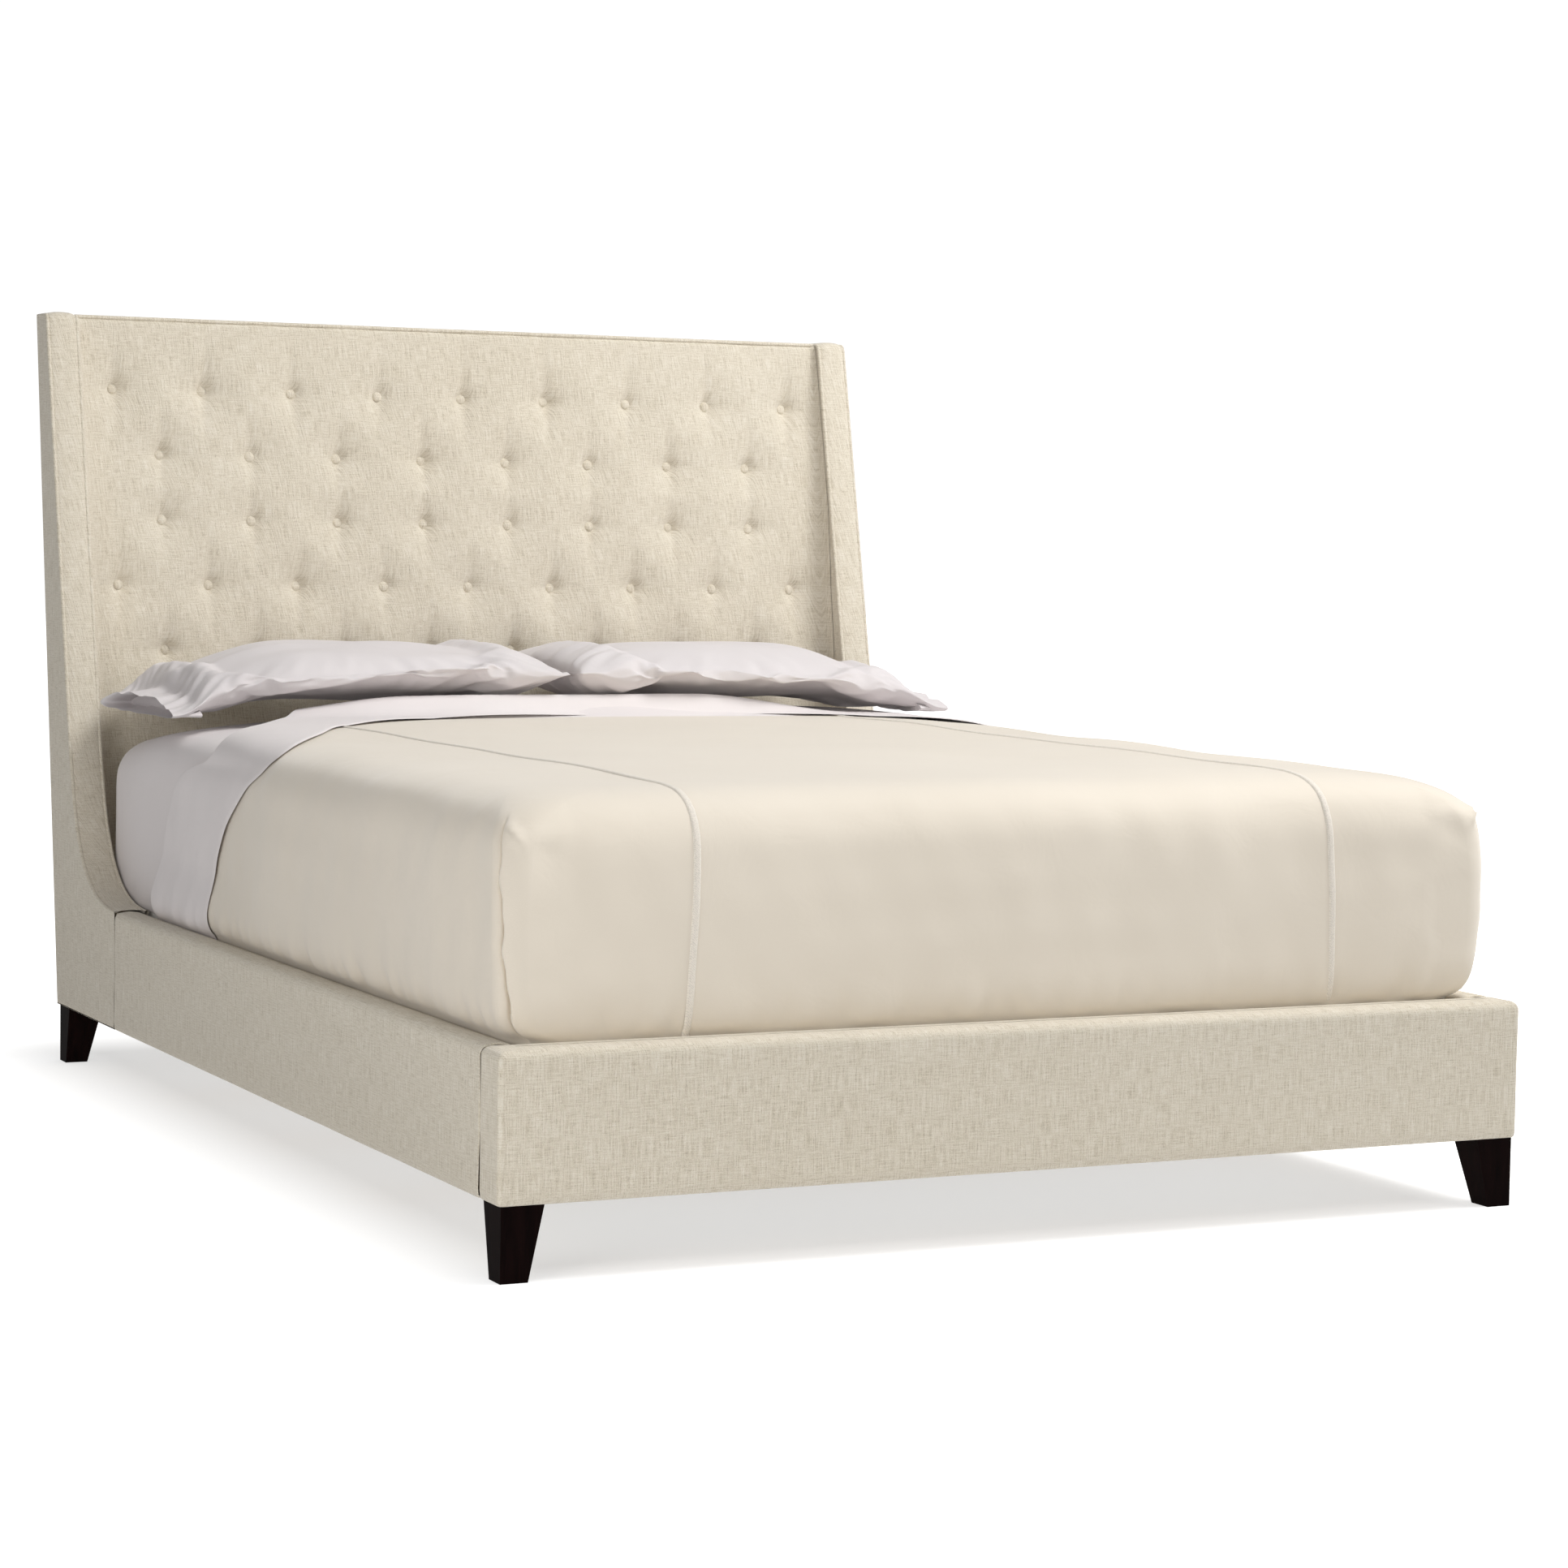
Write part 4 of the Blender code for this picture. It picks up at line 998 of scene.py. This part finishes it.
def make_flat_sheet():
    """The top sheet: up under the coverlet, round a soft fold and back over it as a cuff."""
    section = bedding_section(0.009)
    whole = np.vstack([section[:-1] * [-1, 1], section[::-1]])
    arc = run_lengths(whole)
    arc -= arc[-1] / 2
    normal = left_normals(whole)
    edge = cuff_edge(arc) + 0.004 * ripples(50, arc, arc * 0, 0.35)
    fold = cuff_fold(arc) + 0.005 * ripples(51, arc, arc * 0, 0.5)
    rows = []
    puff = 0.034 * smooth_step(0.62, 0.28, abs(arc + 0.03))

    def row(u, offset):
        base = placed(whole[:, 0], u, whole[:, 1])
        foot_height = np.interp(u - COVERLET_FOOT, COVERLET_HALF - section[:, 0], section[:, 1])
        base[:, 2] = np.minimum(base[:, 2], foot_height)
        lift = bedding_unevenness(base) * smooth_step(0.305, 0.33, base[:, 2])
        swell = 0.0025 * ripples(52, arc, u, 0.35) * smooth_step(0.305, 0.34, base[:, 2])
        rise = puff * gauss(u - 1.752, 0.040) * smooth_step(0.0, 0.03, u - edge)
        total = lift + offset + abs(swell) * (offset > 0) + rise
        spot = base.copy()
        spot[:, 0] += normal[:, 0] * total
        spot[:, 2] += normal[:, 1] * total
        return spot

    cuff_height = 0.0046
    drop = 0.0085
    turn = 0.010
    inner_end = 0.30
    for share in np.linspace(0, 1, 42):
        lip = -0.0022 * (1 - smooth_step(0, 0.02, share))
        rows.append(row(edge + (fold - turn - edge) * share, cuff_height + lip))
    for angle in np.linspace(0, math.pi, 9)[1:]:
        height = cuff_height - drop * (1 - math.cos(angle)) / 2
        rows.append(row(fold - turn + turn * math.sin(angle), height))
    for share in np.linspace(0, 1, 46)[1:]:
        rows.append(row(fold - turn + (inner_end - fold) * share, -0.0040))
    sheet = Patches().add(np.array(rows))
    piece = sheet.build("flat_sheet_cloth", SHEET, "mattress", "sheet_cotton", ["flat_sheet"])


def box_rows(low, high, radius, seed, corner=0.055):
    """Rings of a soft closed box: over its top from one middle, down its sides and under its bottom."""
    half = (high[0] - low[0]) / 2
    start, end = low[1] - FOOT_Y, high[1] - FOOT_Y
    middle_u = (start + end) / 2
    quarter = np.linspace(0, math.pi / 2, 8)
    levels = [(inset, low[2]) for inset in np.linspace(half - 0.002, radius, 24)]
    levels += [(radius * (1 - math.sin(a)), low[2] + radius * (1 - math.cos(a))) for a in quarter[1:]]
    levels += [(0.0, z) for z in np.linspace(low[2] + radius, high[2] - radius, 12)[1:-1]]
    levels += [(radius * (1 - math.cos(a)), high[2] - radius * (1 - math.sin(a))) for a in quarter]
    levels += [(inset, high[2]) for inset in np.linspace(radius, half - 0.002, 40)[1:]]
    rows = []
    for inset, z in levels:
        ring = plan_ring(half - inset, start + inset, end - inset, max(corner - inset * 0.3, 0.001), 80, 110)
        wave = 0.0012 * ripples(seed, ring[:, 0] * 1.3 + ring[:, 1], z, 0.28) - 0.0012
        shrink = 1 + wave / half
        x = ring[:, 0] * shrink
        u = middle_u + (ring[:, 1] - middle_u) * shrink
        lift = 0.0010 * (ripples(seed + 1, ring[:, 0], ring[:, 1], 0.4) - 1) * (inset > radius) * (z > low[2])
        rows.append(placed(x, u, z + lift))
    return np.array(rows)


def make_soft_box(name, nodes, radius, material, slot, body, seed):
    """A closed block with rounded edges, in the box of its first node."""
    low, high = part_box(nodes[0])
    grid = box_rows(low, high, radius, seed)
    cover = Patches().add(grid, closed=True)
    cover.add_fan(grid[0], flip=True).add_fan(grid[-1])
    piece = cover.build(name, material, body, slot, nodes)


def profile_rows(profile, start, end, corner, seed, hem_gather=0.0):
    """Rings up a rounded profile of (half width, height), over a block this long."""
    widest = max(half for half, _ in profile)
    curve = spline(profile, 0.010)
    curve[:, 0] = np.clip(curve[:, 0], 0.001, widest)
    rows = []
    for half, z in curve:
        inset = widest - half
        low_u, high_u = start + inset, end - inset
        ring = plan_ring(half, low_u, high_u, max(corner - inset * 0.2, 0.001), 90, 150)
        run = ring[:, 0] + ring[:, 1]
        gather = hem_gather * gauss(z - curve[0, 1], 0.05) * ripples(seed, run, 0, 0.045)
        soft = 0.0008 * ripples(seed + 1, run, z, 0.25) * (inset < 0.05) - 0.0010
        lift = 0.0012 * (ripples(seed + 2, ring[:, 0], ring[:, 1], 0.45) - 1) * (inset > 0.05)
        sag = 0.030 * smooth_step(1.78, end, ring[:, 1]) * smooth_step(0.45, 0.74, abs(ring[:, 0]))
        sag = sag * float(smooth_step(0.45, 0.60, z))
        shrink = 1 + (gather + soft) / widest
        middle = (start + end) / 2
        u = middle + (ring[:, 1] - middle) * shrink
        rows.append(placed(ring[:, 0] * shrink, u, z + lift - sag))
    return np.array(rows)


def make_mattress():
    """The mattress with its taped edges, and the fitted sheet drawn tight over it."""
    low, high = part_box("mattress_cover")
    start, end = low.y - FOOT_Y, high.y - FOOT_Y
    base = low.z
    top = ((0.7575, 0.480), (0.7560, 0.555), (0.7500, 0.587), (0.7360, 0.609), (0.7080, 0.625),
           (0.6600, 0.6335), (0.5600, 0.6375), (0.4000, 0.6395), (0.2000, 0.6410), (0.0010, 0.6415))
    bottom = ((0.0010, base), (0.4000, base), (0.7000, base), (0.7380, base + 0.003), (0.7530, base + 0.018),
              (0.7575, base + 0.045))
    ticking = tuple((max(half - 0.0030, 0.001), z - 0.0030 * (z > 0.5)) for half, z in bottom + top)
    rows = profile_rows(ticking, start + 0.003, end - 0.003, 0.060, 61)
    mattress = Patches().add(rows, closed=True).add_fan(rows[0], flip=True).add_fan(rows[-1])
    piece = mattress.build("mattress_ticking_cover", TICKING, "mattress", "ticking",
                           ["mattress_cover", "mattress_core"])
    ring = plan_ring(0.7545, start + 0.004, end - 0.004, 0.058, 60, 80)
    line = placed(ring[:, 0], ring[:, 1], base + 0.030)
    tape = Patches().add(tube_rings(np.vstack([line, line[:1]]), 0.0030, 8), closed=True)
    tape.build("mattress_tape", SHEET_SEAM, "mattress", "ticking")
    hem = BEDDING_HEM
    sheet_profile = ((0.7420, hem), (0.7540, hem + 0.008), (0.7590, hem + 0.030)) + top
    rows = profile_rows(sheet_profile, start, end, 0.062, 61, hem_gather=0.0022)
    sheet = Patches().add(rows, closed=True).add_fan(rows[-1])
    piece = sheet.build("fitted_sheet_cloth", SHEET, "mattress", "sheet_cotton", ["fitted_sheet"])


CLOTH_FRAMES = 20
CASE_CLOTH = {
    "quality": 6,
    "mass": 0.25,
    "tension_stiffness": 22,
    "compression_stiffness": 22,
    "shear_stiffness": 6,
    "bending_stiffness": 0.12,
    "use_pressure": True,
    "uniform_pressure_force": 3.2,
    "vertex_group_mass": "held",
    "shrink_min": -0.03,
}


def pillow_rows(sign, low, high):
    """Rings of a pillow in its case: closed at its inner end, drawn out to a slack mouth at its outer."""
    middle_u = (low[1] + high[1]) / 2 - FOOT_Y
    half_u = (high[1] - low[1]) / 2
    height = high[2] - low[2]
    angles = np.linspace(0, 2 * math.pi, 112, endpoint=False)
    around = np.sign(np.cos(angles)) * abs(np.cos(angles)) ** 0.84
    above = np.sign(np.sin(angles)) * abs(np.sin(angles)) ** 1.10
    rows = []
    for t in np.concatenate([np.linspace(0, 1, 12)[:-1] ** 1.5 * 0.10, np.linspace(0.10, 1, 66)]):
        body = min(t / 0.93, 1)
        plump = max(1 - abs(2 * body - 1) ** 3.0, 0) ** 0.52
        mouth = float(smooth_step(0.84, 1.0, t))
        thick = max(plump * 0.445 * height, 0.0035 + 0.016 * mouth)
        width = half_u * (0.985 - 0.035 * plump) * (1 - 0.34 * mouth)
        centre_u = middle_u - 0.095 * mouth
        centre_z = low[2] + 0.079 - 0.028 * float(smooth_step(0.62, 0.90, t)) - 0.034 * mouth
        x = PILLOW_INNER + (PILLOW_OUTER - PILLOW_INNER) * t
        pinch = 0.016 * (1 - abs(around) ** 2) * (1 - plump)
        x = x + pinch * (1 if t < 0.5 else -1) + 0.020 * mouth * around
        u = centre_u + around * width
        z = centre_z + above * thick + 0.006 * mouth * around
        rows.append(placed(sign * x, u, z))
    return np.array(rows)


def crease(rows, low, high, seed):
    """Radial wrinkles where the case is gathered at its seams, and slack folds towards its mouth."""
    low, high = np.array([*low]), np.array([*high])
    middle = (low + high) / 2
    x, y, _ = np.moveaxis((rows - middle) / ((high - low) / 2), -1, 0)
    edge = np.clip(np.maximum(abs(x), abs(y)), 0, 1.2)
    near = smooth_step(0.50, 0.97, edge)
    turn = np.arctan2(y, x)
    rays = ripples(seed, turn * 0.33, edge * 0.10, 0.085, 14)
    fine = ripples(seed + 1, turn * 0.33, edge * 0.05, 0.030, 12)
    slack = ripples(seed + 2, x * 0.25 + y * 0.10, y * 0.35, 0.16, 10)
    seam = smooth_step(0.62, 0.90, edge) * smooth_step(1.06, 0.97, edge)
    lift = 0.0034 * near * rays + 0.0030 * seam * fine + 0.0026 * slack
    side = np.sign(rows[..., 2] - middle[2])
    rows = rows.copy()
    rows[..., 2] += lift * np.where(side == 0, 1, side)
    return rows


def settle(points, rest, top):
    """Presses a soft shape flat where it would pass below what it rests on."""
    z = points[:, 2]
    give = 0.010
    under = rest + give - z
    points[:, 2] = np.where(under > 0, rest + give * np.exp(-under / give), z)
    points[:, 2] = np.minimum(points[:, 2], top)
    return points


def inflate(piece, held, cap):
    """Fills a bag by cloth pressure, holding the held vertices, and keeps each point near its start."""
    mesh = piece.data
    start = np.array([v.co for v in mesh.vertices])
    group = piece.vertex_groups.new(name="held")
    for index, weight in enumerate(held):
        if weight > 0:
            group.add([index], float(weight), "REPLACE")
    cloth = piece.modifiers.new("cloth", "CLOTH")
    for setting, value in CASE_CLOTH.items():
        setattr(cloth.settings, setting, value)
    cloth.settings.effector_weights.gravity = 0
    cloth.collision_settings.use_collision = False
    scene = bpy.context.scene
    scene.frame_start, scene.frame_end = 1, CLOTH_FRAMES
    for step in range(1, CLOTH_FRAMES + 1):
        scene.frame_set(step)
    graph = bpy.context.evaluated_depsgraph_get()
    shaped = np.array([v.co for v in piece.evaluated_get(graph).data.vertices])
    piece.modifiers.clear()
    piece.vertex_groups.clear()
    scene.frame_set(1)
    move = shaped - start
    far = np.linalg.norm(move, axis=1)
    move *= np.minimum(1, cap / np.maximum(far, 1e-9))[:, None]
    return start + move


def make_pillow(side, sign, seed):
    """A pillow in its case, with an open mouth that shows the case's inside."""
    body = f"pillow_{side}"
    low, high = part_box(f"pillow_case_{side}")
    rows = crease(pillow_rows(sign, low, high), low, high, seed)
    shape = Patches().add(rows, closed=True, flip=sign > 0)
    shape.add_fan(rows[0], flip=sign < 0)
    count, ring = rows.shape[:2]
    bag = Patches().add(rows, closed=True, flip=sign > 0)
    bag.add_fan(rows[0], flip=sign < 0).add_fan(rows[-1], flip=sign > 0)
    trial = bag.build(f"bag_{side}", PILLOW_CLOTH, body, "sheet_cotton")
    held = np.zeros(len(bag.points))
    along = np.linspace(0, 1, count)
    held[:count * ring] = np.repeat(smooth_step(0.80, 0.92, along) + smooth_step(0.22, 0.12, along), ring)
    held[count * ring:] = 1
    points = inflate(trial, held, 0.022)
    bpy.data.objects.remove(trial)
    rows = points[:count * ring].reshape(count, ring, 3)
    shape.points = points[:len(shape.points)].tolist()
    points = settle(np.array(shape.points), low[2] + 0.004, high[2] + 0.016)
    shape.points = points.tolist()
    outer = points[(count - 1) * ring:count * ring]
    centre = outer.mean(0)
    lining = []
    for depth, share in ((0.0, 1.0), (0.0012, 0.97), (0.005, 0.94), (0.025, 0.92), (0.055, 0.96)):
        loop = centre + (outer - centre) * np.array([1, share, share])
        loop[:, 0] -= sign * depth
        lining.append(loop)
    shape.add(np.array(lining), closed=True, flip=sign > 0).add_fan(lining[-1], flip=sign > 0)
    piece = shape.build(f"pillow_{side}_case_cloth", PILLOW_CLOTH, body, "sheet_cotton",
                        [f"pillow_case_{side}", f"pillow_insert_{side}"])
    smooth = piece.modifiers.new("subdivision", "SUBSURF")
    smooth.levels = smooth.render_levels = 1


# ---- Carried-over frame parts ----


def soften(node, width):
    """Breaks the hard edges of a frame part."""
    bevel = node.modifiers.new("edges", "BEVEL")
    bevel.width = width
    bevel.segments = 2
    bevel.limit_method = "ANGLE"
    bevel.harden_normals = True


def dress_frame():
    """Gives every carried-over part its own material and eased edges."""
    looks = (
        ("leg_", ESPRESSO, 0.0012),
        ("centre_leg", LUMBER, 0.0015),
        ("centre_glide", PLASTIC, 0.0),
        ("bracket", STEEL, 0.0004),
    )
    for name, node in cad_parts.items():
        material, width = LUMBER, 0.0012
        for part, look, edge in looks:
            if name.startswith(part) or part == "bracket" and part in name:
                material, width = look, edge
        node.data.materials.clear()
        node.data.materials.append(material)
        if width:
            soften(node, width)


# ---- Floor, light and camera ----


def make_stage():
    """A pale floor, partly self-lit where the camera sees it, and darker under the bed by a painted shadow
    where that glow is lower.
    """
    mesh = bpy.data.meshes.new("floor")
    size = 30.0
    corners = [(-size, -size, 0), (size, -size, 0), (size, size, 0), (-size, size, 0)]
    mesh.from_pydata(corners, [], [(0, 1, 2, 3)])
    floor = show("floor", mesh)
    look = Look("pale_floor", 0.9, Specular_IOR_Level=0.1)
    look.shader.inputs["Base Color"].default_value = (0.55, 0.55, 0.55, 1)
    look.shader.inputs["Emission Color"].default_value = (1, 1, 1, 1)
    x, y, _ = look.split(look.place)
    beside = (x.math("ABSOLUTE") - 0.72).math("MAXIMUM", 0.0)
    beyond = (y.math("ABSOLUTE") - 1.08).math("MAXIMUM", 0.0)
    outside = (beside * beside + beyond * beyond).math("SQRT")
    # Painted shadow: the glow the camera sees drops from 1.03 beyond about 0.31 m from the bed's footprint to
    # 0.49 under it.
    seen = (outside * 3.2).math("MINIMUM", 1.0).math("MULTIPLY_ADD", 0.54, 0.49)
    direct = look.wire("LightPath", "Is Camera Ray")
    floor_glow_and_painted_shadow = direct.math("MULTIPLY_ADD", seen - FLOOR_BOUNCE, FLOOR_BOUNCE)
    look.feed(look.shader.inputs["Emission Strength"], floor_glow_and_painted_shadow)
    mesh.materials.append(look.material)


def area_light(name, place, target, size, power, colour=(1, 1, 1)):
    light = bpy.data.lights.new(name, "AREA")
    light.shape = "RECTANGLE"
    light.size, light.size_y = size
    light.energy = power
    light.color = colour
    lamp = show(name, light)
    lamp.location = place
    lamp.rotation_euler = (Vector(target) - Vector(place)).to_track_quat("-Z", "Y").to_euler()


def make_light():
    """A white room that is brighter on the right, and three soft lamps."""
    world = bpy.data.worlds.new("studio")
    bpy.context.scene.world = world
    world.use_nodes = True
    nodes = Nodes(world.node_tree)
    around = world.node_tree.nodes["Background"]
    side = nodes.split(nodes.wire("TexCoord", "Generated"))[0]
    nodes.feed(around.inputs["Color"], (1, 1, 1, 1))
    nodes.feed(around.inputs["Strength"], side.math("MULTIPLY_ADD", 0.24, 0.38))
    seen = nodes.wire("Background", 0, Color=(1, 1, 1, 1), Strength=1.05)
    mix = world.node_tree.nodes.new("ShaderNodeMixShader")
    sources = (nodes.wire("LightPath", "Is Camera Ray"), Wire(nodes, around.outputs[0]), seen)
    for socket, source in zip(mix.inputs, sources):
        nodes.feed(socket, source)
    world_output = world.node_tree.nodes["World Output"]
    nodes.feed(world_output.inputs["Surface"], Wire(nodes, mix.outputs[0]))
    area_light("key", (2.5, -1.5, 4.7), (0, 0.0, 0.4), (2.0, 2.0), 208, (1.0, 0.995, 0.99))
    area_light("front", (0.8, -6.5, 2.0), (0, 0.0, 0.5), (3.0, 2.0), 11, (1.0, 0.99, 0.975))
    area_light("left", (-3.2, -2.6, 1.0), (-0.8, -0.6, 0.5), (1.6, 0.9), 30, (1.0, 0.99, 0.975))


def make_camera():
    """A long lens, low in front of the bed's left corner."""
    yaw, pitch, roll = 0.4538, 0.0699, 0.0170
    forward = Vector((math.sin(yaw) * math.cos(pitch), math.cos(yaw) * math.cos(pitch), -math.sin(pitch)))
    level = Vector((math.cos(yaw), -math.sin(yaw), 0))
    upward = level.cross(forward)
    right = level * math.cos(roll) + upward * math.sin(roll)
    up = upward * math.cos(roll) - level * math.sin(roll)
    data = bpy.data.cameras.new("camera")
    data.sensor_width = 36
    data.lens = 86.53
    camera = show("camera", data)
    turn = Matrix((right, up, -forward)).transposed().to_4x4()
    camera.matrix_world = Matrix.Translation((-2.651, -5.766, 1.0155)) @ turn
    bpy.context.scene.camera = camera


make_camera()
make_light()
make_stage()
make_panel()
make_buttons()
make_inner_welt()
make_back()
make_foot_rail()
for side_name, side_sign in SIDES:
    make_wing(side_name, side_sign)
    make_side_rail(side_name, side_sign)
make_coverlet()
seam_ridge("coverlet_seam_left", -SEAM_X, SEAM_CLOTH)
seam_ridge("coverlet_seam_right", SEAM_X, SEAM_CLOTH)
make_flat_sheet()
make_mattress()
make_soft_box("foundation_fabric", ["foundation_cover", "foundation_core"], 0.012, TICKING, "ticking",
              "foundation", 75)
for pillow_side, pillow_sign in SIDES:
    make_pillow(pillow_side, pillow_sign, 81 if pillow_sign < 0 else 91)
bpy.context.scene.view_settings.view_transform = "Standard"
dress_frame()
